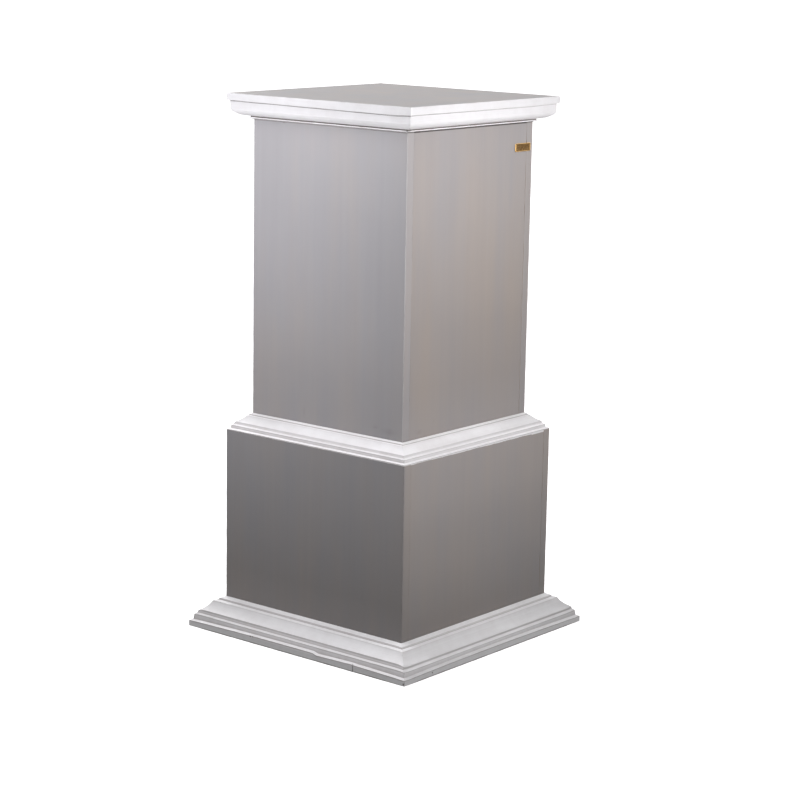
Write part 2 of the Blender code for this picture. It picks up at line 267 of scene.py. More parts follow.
def with_cove(kind, heights, rise=0.0):
    """The softened outline of a base or a band with these steps, in mm: its cove bent to an arc, its foot
    and the ledge on it lifted by the rise."""
    members = TOP_MEMBERS[kind] + list(zip(STEP_WIDTHS[kind], heights))
    points = stepped(sum(down for _, down in members), members)
    points[-3:-1] += 1j * rise
    cove = arc(points[COVE], points[COVE + 1], COVE_TURN[kind])
    return softened(np.concatenate([points[:COVE + 1], cove, points[COVE + 2:]]), ARRIS)


def base_outlines(side):
    """Outline of a base length, how far each of its points moves when the foot is 1 mm higher, and how
    far it is from the mean of the two kinds, in which they meet at a mitre."""
    kinds = STEP_HEIGHTS["base"]
    heights = kinds.get(side, kinds["front"])
    mean = (np.array(kinds["left"]) + np.array(kinds["front"])) / 2
    plain = with_cove("base", heights)
    return refined(plain, 1.0, with_cove("base", heights, 1.0) - plain, with_cove("base", mean) - plain)


def band_outline(side):
    """Outline of a band length."""
    kinds = STEP_HEIGHTS["band"]
    return refined(with_cove("band", kinds.get(side, kinds["front"])), 0.9)


base_outline = base_outlines("left")[0]
for kind, outline in (("base", base_outline), ("band", band_outline("left"))):
    print(kind, "outline:", len(outline), "points,", round(outline.real.max(), 1), "mm out")

# %% The cap outline
CAP_FEET = [(6.2, 1.8), (0.0, 2.1), (-2.2, 0.0), (0.0, 1.7), (6.0, 0.8)]  # splay, fillet, groove, reveal
SEAM_ROWS = np.arange(0.4, 4.4, 0.4)  # mm under the top board, where points lie close for its seam
CAP_ROUND = (20.3, 11.7)  # mm out and up, the quarter round
CAP_FULLNESS = 1.55  # 2 is an ellipse, less is flatter
CAP_FASCIA = 15.1  # mm, the upright face under the board
feet = np.concatenate([[0.0], np.cumsum([out + 1j * up for out, up in CAP_FEET])])
angle = np.linspace(0.0, RIGHT_ANGLE, 15)[1:]
quarter = (CAP_ROUND[0] * np.sin(angle) ** (2 / CAP_FULLNESS)
           + 1j * CAP_ROUND[1] * (1 - np.cos(angle).clip(0.0) ** (2 / CAP_FULLNESS)))
fascia = feet[-1] + CAP_ROUND[0] + 1j * (CAP_ROUND[1] + CAP_FASCIA)
cap_corners = np.concatenate([feet, feet[-1] + quarter, fascia - 1j * SEAM_ROWS[::-1],
                              [fascia, 1j * fascia.imag]])[::-1]
cap_outline = refined(softened(cap_corners, ARRIS), 1.0)
print("cap outline:", len(cap_outline), "points,", round(cap_outline.real.max(), 1), "mm out")

# %% [markdown]
# ## Making meshes
#
# Everything on the column is a ring of points carried along a line: an outline along a wall, a board's
# plan carried up. So one function joins rings into a closed mesh, and keeps readings at every point for
# the paint, such as how dirty it is and how much painted shade it takes.

# %% From rings to a closed piece
SHARP = math.radians(42.0)  # faces that meet at more than this keep a sharp edge


def volume_of(mesh):
    """Volume in cubic metres: a sixth of the sum of a . (b x c) over the triangles. Below 0 when the
    faces point inwards."""
    mesh.calc_loop_triangles()
    corner = np.empty(len(mesh.loop_triangles) * 3, np.int32)
    mesh.loop_triangles.foreach_get("vertices", corner)
    place = np.empty(len(mesh.vertices) * 3, np.float32)
    mesh.vertices.foreach_get("co", place)
    a, b, c = place.reshape(-1, 3).astype(float)[corner.reshape(-1, 3)].transpose(1, 0, 2)
    return (a * np.cross(b, c)).sum() / 6


def piece_name(node):
    """The name of the dressed piece that takes a packed one's place."""
    return node.replace("panel", "board") if "panel" in node else "dressed_" + node


def finished_piece(node, mesh, readings, uv, finishes):
    """The piece that takes a packed one's place: its mesh with faces out and round stretches smooth, its
    readings, its map of distances along and across in metres, and its finishes."""
    if volume_of(mesh) < 0.0:
        mesh.flip_normals()
    mesh.shade_smooth()
    mesh.set_sharp_from_angle(angle=SHARP)
    for reading, values in readings.items():
        layer = mesh.attributes.new(reading, 'FLOAT', 'POINT')
        layer.data.foreach_set("value", np.ascontiguousarray(values, np.float32).ravel())
    if uv is not None:
        corner = np.empty(len(mesh.loops), np.int32)
        mesh.loops.foreach_get("vertex_index", corner)
        layer = mesh.uv_layers.new(name="along")
        layer.data.foreach_set("uv", uv.reshape(-1, 2)[corner].astype(np.float32).ravel())
    for finish in finishes:
        mesh.materials.append(finish)
    piece = added(piece_name(node), mesh)
    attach(piece, "root")
    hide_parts(node)
    return piece


def ring_faces(count, around):
    """Corners of the faces of a closed mesh: four-sided ones between its rings, and one over each end."""
    ring = np.arange(count - 1)[:, None] * around
    here = ring + np.arange(around)
    there = ring + (np.arange(around) + 1) % around
    sides = np.stack([here, there, there + around, here + around], axis=-1).reshape(-1, 4).tolist()
    ends = [list(range(around))[::-1], list(range((count - 1) * around, count * around))]
    return sides + ends


def ring_piece(node, rings, readings, run, finishes, painted=None, bare_ends=(True, True)):
    """A closed piece from rings of points. Its readings and its run, the distances along and across in
    mm, are those of the painted points, which come first in a ring. Faces that start at the last of them
    or later take the second finish, and so do bare ends."""
    count, around = rings.shape[:2]

    def at_points(values):
        known = np.zeros((count, around))
        known[:, :painted] = values
        return known

    mesh = bpy.data.meshes.new(piece_name(node))
    mesh.from_pydata(rings.reshape(-1, 3).tolist(), [], ring_faces(count, around))
    if painted is not None:
        bare = np.tile(np.arange(around) >= painted - 1, count - 1)
        mesh.polygons.foreach_set("material_index", np.append(bare, bare_ends).astype(np.int32))
    readings = {reading: at_points(values) for reading, values in readings.items()}
    uv = np.stack([at_points(distance) for distance in run], axis=-1) * MM
    return finished_piece(node, mesh, readings, uv, finishes)


def turned(points, degrees):
    """Points turned about the upright axis: x cos a - y sin a, and x sin a + y cos a."""
    c, s = math.cos(math.radians(degrees)), math.sin(math.radians(degrees))
    x, y, z = np.moveaxis(points, -1, 0)
    return np.stack([c * x - s * y, s * x + c * y, z], axis=-1)


# %% [markdown]
# ## Finishes
#
# Shader maths reads best as plain formulas, so a small class wraps a node's socket and turns +, - and *
# into Math nodes. One method makes every other node. A painted finish then fits in a few lines.

# %% A socket that can be reckoned with
class Value:
    """One number that varies over a surface or over the sky. Sums and products with it add Math nodes."""

    def __init__(self, nodes, socket):
        self.nodes = nodes
        self.socket = socket

    def __add__(self, other):
        return self.nodes.maths('ADD', self, other)

    def __sub__(self, other):
        return self.nodes.maths('SUBTRACT', self, other)

    def __mul__(self, other):
        return self.nodes.maths('MULTIPLY', self, other)

    def __rsub__(self, other):
        return self.nodes.maths('SUBTRACT', other, self)

    __radd__ = __add__
    __rmul__ = __mul__

    def power(self, other):
        return self.nodes.maths('POWER', self, other)

    def most(self, other):
        return self.nodes.maths('MAXIMUM', self, other)

    def above(self, other):
        return self.nodes.maths('GREATER_THAN', self, other)

    def size(self):
        return self.nodes.maths('ABSOLUTE', self)

    def between(self, low, high):
        """0 at or below low, 1 at or above high, and a smooth rise between them."""
        return self.nodes.number("ShaderNodeMapRange", {"interpolation_type": 'SMOOTHSTEP'},
                                 {"Value": self, "From Min": low, "From Max": high})


class Nodes:
    """The nodes of one material, or of the sky."""

    def __init__(self, tree):
        self.tree = tree

    def feed(self, made, inputs):
        """Give the sockets of a node values or links."""
        for key, given in inputs.items() if isinstance(inputs, dict) else enumerate(inputs):
            given = given.socket if isinstance(given, Value) else given
            if isinstance(given, bpy.types.NodeSocket):
                self.tree.links.new(given, made.inputs[key])
            else:
                made.inputs[key].default_value = given

    def node(self, kind, settings, inputs):
        """The outputs of a node of a kind, with its settings made first and its sockets fed."""
        made = self.tree.nodes.new(kind)
        for key, setting in settings.items():
            setattr(made, key, setting)
        self.feed(made, inputs)
        return made.outputs

    def number(self, kind, settings, inputs, output=0):
        return Value(self, self.node(kind, settings, inputs)[output])

    def maths(self, operation, *terms):
        return self.number("ShaderNodeMath", {"operation": operation}, terms)

    def axes(self, point):
        """The three parts of a point, each as a value."""
        parts = self.node("ShaderNodeSeparateXYZ", {}, {"Vector": point})
        return [Value(self, part) for part in parts]


class Finish(Nodes):
    """One material, with the nodes that make it."""

    def __init__(self, name):
        self.material = bpy.data.materials.new(name)
        self.material.use_nodes = True
        super().__init__(self.material.node_tree)
        self.shader = self.tree.nodes["Principled BSDF"]

    def place(self, scale=(1, 1, 1), shift=(0, 0, 0)):
        """The point on the column, in metres, stretched by the scale and shifted."""
        point = self.node("ShaderNodeTexCoord", {}, {})["Object"]
        return self.stretched(point, scale, shift)

    def along(self, scale, shift=(0, 0, 0)):
        """The point on the piece's own map: distance along it and across it, in metres."""
        point = self.node("ShaderNodeUVMap", {"uv_map": "along"}, {})["UV"]
        return self.stretched(point, scale, shift)

    def stretched(self, point, scale, shift):
        return self.node("ShaderNodeMapping", {}, {"Vector": point, "Scale": scale, "Location": shift})[0]

    def cloud(self, point, detail=3.0, roughness=0.5, scale=1.0):
        """Noise between 0 and 1, about as wide as 1 over the scale."""
        return self.number("ShaderNodeTexNoise", {}, {"Vector": point, "Scale": scale, "Detail": detail,
                                                      "Roughness": roughness})

    def reading(self, name):
        """A reading kept at the points of the piece."""
        return self.number("ShaderNodeAttribute", {"attribute_name": name}, {}, "Fac")

    def blend(self, first, second, share):
        """The first colour, going over to the second as the share goes from 0 to 1."""
        return self.node("ShaderNodeMix", {"data_type": 'RGBA'}, {0: share, 6: first, 7: second})[2]

    def dimmed(self, colour, share):
        """A colour times a number."""
        return self.node("ShaderNodeVectorMath", {"operation": 'SCALE'}, {0: colour, "Scale": share})[0]

    def paint(self, colour, roughness, height, depth):
        """Feed the shader its colour, its roughness and the normal of a height between 0 and 1 that
        stands for so many millimetres, and give the material back."""
        normal = self.node("ShaderNodeBump", {}, {"Height": height, "Distance": depth * MM})["Normal"]
        self.feed(self.shader, {"Base Color": colour, "Roughness": roughness, "Normal": normal})
        return self.material


def rgb(red, green, blue):
    """A colour from light values between 0 and 1, with full cover."""
    return (red, green, blue, 1.0)


# %% [markdown]
# ### Grey paint
#
# The boards were brushed upright with a satin grey. Each stroke leaves streaks a few millimetres wide
# and a good part of the board long, and under them the colour drifts between a cool and a warm grey. The
# recipe serves the boards and the top, so it gives back a colour, a roughness and a height.

# %% Grey paint
GREY_COOL = rgb(0.333, 0.322, 0.331)
GREY_WARM = rgb(0.357, 0.312, 0.281)
GREY_WORN = rgb(0.600, 0.585, 0.560)
GRIME_AND_SHADE = rgb(0.150, 0.130, 0.120)
SHADOW_DARK = rgb(0.040, 0.034, 0.034)
WHITE_LAPPED = rgb(0.800, 0.785, 0.785)


def grey_coat(f, brush, warmth):
    """Brushed satin grey: clouds about 15 cm wide, bands of 4 cm, and broad and fine streaks along the
    axis that the brush scale leaves small. Warmth is the share of the warm grey that was in the pot."""
    clouds = f.cloud(f.place((1, 1, 0.6), (3.1, 0.7, 0.2)), 3.0, 0.5, 6.5)
    bands = f.cloud(f.place((1, 1, 0.10), (0.4, 5.2, 1.3)), 3.0, 0.5, 24.0)
    broad = f.cloud(f.place(brush), 3.0, 0.55, 70.0)
    fine = f.cloud(f.place(brush, (7.0, 2.0, 4.0)), 4.0, 0.62, 330.0)
    tint = warmth + (clouds - 0.5) * 0.7 + (bands - 0.5) * 1.1
    colour = f.blend(GREY_COOL, GREY_WARM, tint)
    level = 0.82 + clouds * 0.14 + bands * 0.10 + broad * 0.08 + fine * 0.05
    roughness = 0.40 + broad * 0.10 + fine * 0.08
    return f.dimmed(colour, level), roughness, broad * 0.45 + fine * 0.55


def board_finish():
    """Grey paint on a board, as light as its tone reading, which holds painted light and shade: worn to
    the undercoat along its corners, painted shade next to the mouldings, dirt at the joints and scuffs,
    and an almost black painted shadow where the reading of dirt and painted shade goes over 1."""
    f = Finish("brushed_grey_paint")
    colour, roughness, height = grey_coat(f, (1.0, 1.0, 0.018), f.reading("warmth"))
    arris, dirt = f.reading("arris"), f.reading("dirt")
    scuffs = f.cloud(f.place((1, 1, 0.35)), 3.0, 0.6, 60.0)
    worn = (arris * (scuffs * 0.9 + 0.35)).between(0.30, 0.72)
    # the tone reading is partly the coat and partly painted light and shade
    colour = f.dimmed(colour, f.reading("tone"))
    colour = f.blend(colour, GREY_WORN, worn * 0.55)
    colour = f.blend(colour, WHITE_LAPPED, f.reading("lapped").between(0.25, 0.75))
    # painted shade over the mouldings and under the cap, with real dirt at the joints and scuffs
    colour = f.blend(colour, GRIME_AND_SHADE, (dirt * (scuffs * 1.2 + 0.2)).between(0.10, 1.1) * 0.60)
    # an almost black painted shadow, under the cap, where the reading goes over 1
    colour = f.blend(colour, SHADOW_DARK, (dirt - 1.0).between(0.0, 0.6) * 0.9)
    return f.paint(colour, roughness + worn * 0.10 + dirt * 0.15, height, 0.22)


BOARD_PAINT = board_finish()

# %% [markdown]
# ### White paint
#
# The mouldings are an off-white satin, rubbed back by hand. Dirt and painted shade lie in the steps and
# the mitres, painted shade darkens the risers and painted shadow lies under the arrises, the arrises
# carry a painted highlight, and the high arrises are rubbed through to a pinkish ground. Brush marks
# follow each length, so the pattern reads the piece's own map of distances along and across, and not the
# room's axes.

# %% White paint
WHITE = rgb(0.855, 0.845, 0.850)
WHITE_AGED = rgb(0.775, 0.755, 0.755)
ARRIS_HIGHLIGHT = rgb(0.920, 0.910, 0.912)
GROUND_PINK = rgb(0.560, 0.430, 0.420)
HOLLOW_DIRT_AND_SHADE = rgb(0.240, 0.205, 0.200)
RISER_SHADE = rgb(0.560, 0.520, 0.515)


def white_coat(f):
    """Rubbed off-white: mottled, streaked along the piece, with painted shade on the risers, dirt and
    painted shade in the hollows, painted shadow under the arrises, a painted highlight on the arrises and
    the paint thin on them, and dirt and painted shadow where the reading of both says. Gives the colour,
    the roughness and the height."""
    mottle = f.cloud(f.place((1, 1, 1), (1.7, 4.1, 0.3)), 4.0, 0.6, 38.0)
    streak = f.cloud(f.along((14.0, 520.0, 1.0)), 3.0, 0.6)
    fine = f.cloud(f.along((60.0, 1500.0, 1.0), (0.3, 0.8, 0.0)), 3.0, 0.6)
    specks = f.cloud(f.place(), 2.0, 0.7, 420.0)
    arris, hollow, riser = f.reading("arris"), f.reading("hollow"), f.reading("riser")
    under, dirt = f.reading("under"), f.reading("dirt")
    aged = (mottle * 0.8 + streak * 0.45 - 0.12).between(0.28, 0.78)
    colour = f.blend(WHITE, WHITE_AGED, aged * 0.75)
    # painted shade on the upright faces next to the hollows
    colour = f.blend(colour, RISER_SHADE, riser * (0.65 + mottle * 0.6))
    # painted highlight along the arrises
    colour = f.blend(colour, ARRIS_HIGHLIGHT, (arris * 1.1).between(0.15, 0.8) * 0.50)
    # dirt and painted shade in the hollows, and painted shadow under the arrises
    shade_and_grime = (hollow * (0.75 + streak * 0.5)).between(0.10, 0.75) * 0.60
    shade_and_grime = shade_and_grime.most((under * (0.6 + streak * 0.7)).between(0.10, 1.0) * 0.62)
    colour = f.blend(colour, HOLLOW_DIRT_AND_SHADE, shade_and_grime)
    rubbed = (arris * (mottle * 1.3 + streak * 0.7 - 0.2)).between(0.42, 0.95)
    colour = f.blend(colour, GROUND_PINK, rubbed * 0.38)
    # dirt, and painted shadow in the cap's groove, splay and seam, at the near mitre and along the foot
    soiled_and_shaded = (dirt * (0.75 + specks * 0.5)).between(0.12, 0.95)
    colour = f.blend(colour, GRIME_AND_SHADE, soiled_and_shaded * 0.88)
    roughness = 0.44 + aged * 0.10 + shade_and_grime * 0.15 + soiled_and_shaded * 0.15
    return colour, roughness, streak * 0.4 + fine * 0.35 + specks * 0.25


def moulding_finish():
    """White paint, as light as the tone reading says, which holds painted light and shade."""
    f = Finish("rubbed_white_paint")
    colour, roughness, height = white_coat(f)
    return f.paint(f.dimmed(colour, f.reading("tone")), roughness, height, 0.28)


MOULDING_PAINT = moulding_finish()

# %% [markdown]
# ### Top board
#
# The top is grey like the boards, but its edges are white, and the painter cut the grey in by hand, a
# couple of millimetres in from the arris. The line wanders a little, so the mask is the distance from
# the edge plus a small noise, and not a second piece.

# %% Two paints on the top board
CUT_IN = 1.6 * MM  # from the arris to the grey
CUT_IN_DRIFT = 1.6 * MM
TOP_WARMTH = 0.25  # share of the warm grey
TOP_TONE, EDGE_TONE = 1.30, 0.86  # how light its grey and white coats are; the grey's extra lightness is painted light on the top face


def top_finish():
    """Grey further in than the cut-in line and near the top face, and white elsewhere."""
    f = Finish("top_board_paint")
    grey, grey_rough, grey_height = grey_coat(f, (0.018, 1.0, 1.0), TOP_WARMTH)
    # painted light: the top's grey made lighter than the boards'
    grey = f.dimmed(grey, TOP_TONE)
    white, white_rough, white_height = white_coat(f)
    white = f.dimmed(white, f.reading("tone") * EDGE_TONE)
    x, y, z = f.axes(f.place())
    drift = f.cloud(f.place(), 2.0, 0.5, 26.0) - 0.5
    inside = TOP_HALF - x.size().most(y.size()) - CUT_IN + drift * CUT_IN_DRIFT
    mask = inside.between(-0.15 * MM, 0.35 * MM) * (z - TOP_FACE).between(-1.2 * MM, -0.4 * MM)
    colour = f.blend(white, grey, mask)
    roughness = white_rough * (1 - mask) + grey_rough * mask
    height = white_height * (1 - mask) + (grey_height + 0.3) * mask
    return f.paint(colour, roughness, height, 0.25)


TOP_PAINT = top_finish()

# %% [markdown]
# ### Bare wood and brass
#
# The insides are planed softwood, with its grain upright in the boards. The plate is thin brass that
# has gone brown in its sunk field and stayed bright on its rim, where fingers rub it.

# %% Bare wood
WOOD_PALE = rgb(0.520, 0.390, 0.250)
WOOD_DARK = rgb(0.330, 0.220, 0.125)


def wood_finish(grain):
    """Planed softwood, with its grain along the axis that the grain scale leaves small."""
    f = Finish("planed_wood")
    rings = f.cloud(f.place(grain), 5.0, 0.55, 38.0)
    fibres = f.cloud(f.place(grain, (3.0, 1.0, 2.0)), 3.0, 0.65, 420.0)
    colour = f.blend(WOOD_PALE, WOOD_DARK, (rings * 0.8 + fibres * 0.35).between(0.35, 0.85))
    return f.paint(colour, 0.62 + fibres * 0.2, rings * 0.3 + fibres * 0.7, 0.4)


BOARD_WOOD = wood_finish((1.0, 1.0, 0.05))
DECK_WOOD = wood_finish((0.05, 1.0, 1.0))

# %% Aged brass
BRASS_BRIGHT = rgb(0.640, 0.400, 0.150)
BRASS_BROWN = rgb(0.200, 0.112, 0.042)


def brass_finish():
    """Brass, brown where the hollow reading and a small cloud of tarnish are high."""
    f = Finish("aged_brass")
    f.feed(f.shader, {"Metallic": 1.0})
    hollow = f.reading("hollow")
    tarnish = f.cloud(f.place(), 4.0, 0.6, 260.0)
    brushed = f.cloud(f.place((0.05, 1.0, 1.0)), 3.0, 0.6, 2600.0)
    dark = (hollow * 0.8 + tarnish * 0.9 - 0.45).between(0.05, 0.85)
    colour = f.blend(BRASS_BRIGHT, BRASS_BROWN, dark)
    return f.paint(colour, 0.34 + dark * 0.25, tarnish * 0.5 + brushed * 0.5, 0.06)


PLATE_BRASS = brass_finish()
print("finishes:", ", ".join(material.name for material in bpy.data.materials if material.users))

# %% [markdown]
# ## Boards
#
# Both tiers are boxes of four boards. The side boards run through and the front and back ones fit
# between them, so the near corner shows the edge of a side board as a strip 18 mm wide with a fine joint
# beside it. A board is its plan, out and across, carried upwards. The paint has rounded its corners, and
# years of handling have worn them, so the corner wanders inwards by a few tenths of a millimetre.

# %% Shape of a board
THROUGH = ("left", "right")  # the side boards, which run through
BOARD_ROW = 5.0  # mm, between rings up the board
BOARD_ROUND = 0.35  # mm, rounding of its end edges
BOARD_END = 4.0  # mm, from an end, where its own rings are
END_ROWS = np.array([0.0, 0.1, 0.25, 0.5, 1.0, 1.5, 2.0, 2.5])
UNEVEN = 0.05  # mm, the coat on any face
JOINT = 0.05 * MM  # what is left open between two boards


def board_plan(half, across, corner_radius):
    """Plan of a board in millimetres, across plus i times out: up one edge, over the outer face, down
    the other edge, and refined to 4 mm on the face and finer near its corners."""
    inner, outer = 1j * (half - BOARD) / MM, 1j * half / MM
    wide = across / MM
    near = np.array([8.0, 4.0, 2.0])
    points = [[-wide + inner, -wide + outer], -wide + outer + near[::-1], wide + outer - near,
              [wide + outer, wide + inner]]
    return refined(softened(np.concatenate(points), corner_radius), 4.0)


def board_heights(length, foot):
    """Heights of the rings over the board's foot in mm: even steps, closer at both ends, under the cap
    and over the mouldings."""
    over = np.arange(0.0, 8.0)
    close = np.concatenate([CAP_FOOT / MM + np.arange(-3.0, 2.1, 0.5), BAND_TOP / MM + over,
                            BASE_TOP / MM + over]) - foot
    close = close[(close > BOARD_END) & (close < length - BOARD_END)]
    even = np.arange(BOARD_END, length - BOARD_END, BOARD_ROW)
    heights = np.unique(np.concatenate([END_ROWS, even, close, length - END_ROWS]))
    return heights[np.append(True, np.diff(heights) > 0.05)]


def worn_plan(plan, height, length, seed):
    """The plan at every height, moved in by a coat's unevenness, by its arrises' wear of up to a third of
    a millimetre, and by the rounding near both ends."""
    uneven = UNEVEN * (1 + wander(height + 2.0 * lengths_along(plan), seed, 190.0)).clip(0.0)
    rubbed = 0.18 + 0.16 * wander(height + 90.0 * np.sign(plan.real), seed + 1, 70.0)
    worn = (bends(plan, 1.6).clip(0.0, 1.0) * rubbed).clip(0.0)
    rounding = eased(np.minimum(height, length - height), BOARD_ROUND)
    return plan - 1j * directions(plan) * (rounding + uneven + worn)


# %% [markdown]
# Each board has its own lightness up its length and its own share of the warm grey. The lightness is
# partly the board's own coat and partly painted light and shade: lighter towards the top of the shaft,
# darker towards the floor on the lower box, and darker on the left than on the front. Part of a face's
# coat and its lightness went over the side board's edge beside it, and the white of the band laps over the
# rim of the box.

# %% Coat of a board, with painted light and shade
BOARD_COATS_AND_LIGHT = {  # up the board: mm above the floor, how light it is, partly its coat and partly painted light and shade, its share of the warm grey
    "shaft_panel_front": [(430, 0.92, 0.62), (500, 0.85, 0.80), (600, 0.84, 0.82), (700, 0.89, 0.75),
                          (800, 0.94, 0.56), (880, 0.97, 0.43), (940, 0.98, 0.36)],
    "shaft_panel_left": [(430, 0.98, 0.20), (500, 0.965, 0.10), (600, 1.0, 0.02), (800, 1.02, 0.02),
                         (880, 1.075, 0.0), (940, 1.13, 0.04)],
    "plinth_panel_front": [(80, 0.75, 0.68), (120, 0.80, 0.58), (180, 0.875, 0.58), (240, 0.905, 0.56),
                           (300, 0.965, 0.58), (360, 0.97, 0.58)],
    "plinth_panel_left": [(80, 0.645, 0.42), (120, 0.61, 0.38), (180, 0.66, 0.24), (240, 0.72, 0.22),
                          (300, 0.775, 0.22), (360, 0.81, 0.22)],
    "shaft_panel_back": [(430, 0.96, 0.35), (940, 1.0, 0.30)],
    "shaft_panel_right": [(430, 0.92, 0.50), (940, 0.98, 0.40)],
    "plinth_panel_back": [(80, 0.70, 0.40), (360, 0.87, 0.35)],
    "plinth_panel_right": [(80, 0.70, 0.50), (360, 0.87, 0.42)],
}
BESIDE = {"left": ("back", "front"), "right": ("front", "back")}  # whose face a side board's edges join
EDGE_SHARE = {"shaft_panel": 0.45, "plinth_panel": 0.9}  # how far those edges took that face's warmth and its lightness, painted light included
LAPPED = {"left": 0.3, "front": 1.7, "right": 0.5, "back": 0.5}  # mm of white paint over the box's rim
STROKE_PLACE, STROKE_HALF, STROKE_FOOT, STROKE_TOP = 118.0, 4.0, 780.0, 905.0  # mm, a cool brush stroke
STROKE_COOL, STROKE_DARK = 0.35, 0.03


def coat_and_light(node, level):
    """How light a board is, partly its coat and partly painted light and shade, and how warm its coat is,
    at levels in mm, read off between the given ones.
    """
    heights, tones, warms = np.array(BOARD_COATS_AND_LIGHT[node]).T
    return np.array([np.interp(level, heights, tones), np.interp(level, heights, warms)])


def board_coat_and_light(prefix, side, half, plan, level):
    """How light and how warm each point is: its board's coat and painted light, with a cool stroke down the
    front, and over the edges of a side board a share of those of the face beside it."""
    own = coat_and_light(prefix + "_" + side, level)
    if side == "front":
        stroke = bell(plan.real - STROKE_PLACE, STROKE_HALF)
        stroke = stroke * smooth_step(level, STROKE_FOOT, STROKE_FOOT + 40.0)
        stroke = stroke * smooth_step(-level, -STROKE_TOP, 20.0 - STROKE_TOP)
        return own[0] - STROKE_DARK * stroke, own[1] - STROKE_COOL * stroke
    if side in THROUGH:
        edge = smooth_step(half / MM - plan.imag, 0.5, 1.5) * EDGE_SHARE[prefix]
        for sign, neighbour in zip((-1, 1), BESIDE[side]):
            share = edge * (np.sign(plan.real) == sign)
            own = own + (coat_and_light(prefix + "_" + neighbour, level) - own) * share
    return own


def lapped_rim(side, half, plan, level, seed):
    """1 where the white laps over the rim of the box, by an amount that wanders and grows to one side."""
    rim = LAPPED[side] * (1 + 0.25 * wander(plan.real, seed + 2, 130.0) + 0.5 * plan.real * MM / half)
    return level > BOX_TOP / MM - rim


# %% Dirt and painted shade on a board
CAP_SHADE = {"left": 1.0, "front": 1.9}  # how dark the painted shadow line under the cap is
OVER_SHADE, OVER_REACH = 0.75, 2.5  # how dark the painted shade is just over a moulding, and how many mm it reaches
FAR_OFF = 1000.0  # mm
SCUFFS = {  # mm along the board, above the floor, half width, half height, how dark
    "shaft_panel_left": [
        (150.0, BAND_TOP / MM + 14.0, 22.0, 8.0, 0.65), (118.0, BAND_TOP / MM + 18.0, 9.0, 4.0, 0.6),
        (-106.0, CAP_FOOT / MM - 1.5, 5.0, 1.4, 1.3), (-52.0, BAND_TOP / MM + 22.0, 4.0, 16.0, 0.5)],
    "shaft_panel_front": [
        (-132.0, BAND_TOP / MM + 10.0, 9.0, 4.0, 0.8), (-92.0, BAND_TOP / MM + 25.0, 5.0, 3.0, 0.6)],
}


def joint_dirt(side, half, across, plan):
    """Dirt beside the joints: exp(-distance / 0.8 mm) from the end of a side board's plan, or from the
    corner of another board's face, darkest at the near corner and faintest at the front's far one."""
    along = lengths_along(plan)
    if side in THROUGH:
        away = np.minimum(along, along[-1] - along)
    else:
        away = np.abs(np.abs(plan.real) - across / MM) + np.abs(plan.imag - half / MM)
    dark = np.where(plan.real < 0.0, 0.4, 0.12) if side == "front" else 0.3
    return dark * np.exp(-away / 0.8)


def board_dirt_and_shade(prefix, side, half, across, plan, level):
    """The most of the painted shade over the mouldings, the painted shadow line under the cap, the dirt at
    the joints and the scuffs.
    """
    over = np.full(level.shape, FAR_OFF)
    for top in (BAND_TOP / MM, BASE_TOP / MM):
        over = np.minimum(over, np.where(level > top, level - top, FAR_OFF))
    # painted shadow under the cap, and painted shade in the crease just over the mouldings
    under_cap = CAP_SHADE.get(side, 1.1) * bell(CAP_FOOT / MM - 0.5 - level, 1.4)
    dirt = OVER_SHADE * np.exp(-over / OVER_REACH) + under_cap
    dirt = np.maximum(dirt, joint_dirt(side, half, across, plan))
    for place, up, half_wide, half_high, dark in SCUFFS.get(prefix + "_" + side, []):
        scuff = dark * bell(plan.real - place, half_wide) * bell(level - up, half_high)
        dirt = np.maximum(dirt, scuff * (plan.imag > half / MM - 1.0))
    return dirt


# %% The eight boards
ARRIS_SHARE = {"shaft_panel": 0.75, "plinth_panel": 0.5}  # how far side boards' corners are rubbed
INNER_ARRIS = 0.3  # and those of the boards between them
CORNER_RADIUS, JOINT_RADIUS = 1.3, 0.25  # mm, at the corners of the column, and where two boards meet
TIERS = {"plinth_panel": (BOX_HALF, 0.0, BOX_TOP), "shaft_panel": (SHAFT_HALF, SHAFT_FOOT, SHAFT_TOP)}


def board(prefix, side, seed):
    """A board facing a side of the column: its worn plan at every height, turned to that side."""
    half, foot, top = TIERS[prefix]
    runs_through = side in THROUGH
    across = half if runs_through else half - BOARD - JOINT
    plan = board_plan(half, across, CORNER_RADIUS if runs_through else JOINT_RADIUS)
    length = (top - foot) / MM
    height = board_heights(length, foot / MM)[:, None]
    level = foot / MM + height
    moved = worn_plan(plan, height, length, seed)
    local = np.stack([moved.real, -moved.imag, np.broadcast_to(level, moved.shape)], axis=-1) * MM
    # the tone holds painted light and shade: lighter up the shaft, darker towards the floor and on the left
    tone, warmth = board_coat_and_light(prefix, side, half, plan, level)
    arris_share = ARRIS_SHARE[prefix] if runs_through else INNER_ARRIS
    readings = {"arris": bends(plan, 1.6).clip(0.0, 1.0) * arris_share, "tone": tone, "warmth": warmth,
                "dirt": board_dirt_and_shade(prefix, side, half, across, plan, level),
                "lapped": lapped_rim(side, half, plan, level, seed) * (prefix == "plinth_panel")}
    return ring_piece(prefix + "_" + side, turned(local, SIDES[side]), readings,
                      (lengths_along(plan) + 1000.0 * seed, level), [BOARD_PAINT, BOARD_WOOD], len(plan),
                      (True, prefix == "shaft_panel"))


for index, side in enumerate(SIDES):
    for prefix in TIERS:
        made = board(prefix, side, 11 + 7 * index)
        print(made.name, len(made.data.polygons), "faces")

# %% [markdown]
# ## Mouldings
#
# Each length is its outline carried from mitre to mitre. The rings lean over more and more towards the
# ends, until the last one lies in the plane of the mitre: point by point, the place along the wall is
# the same share of the distance from the middle to the mitre. The paint bridges the joint, so the ends
# are rounded only a little.

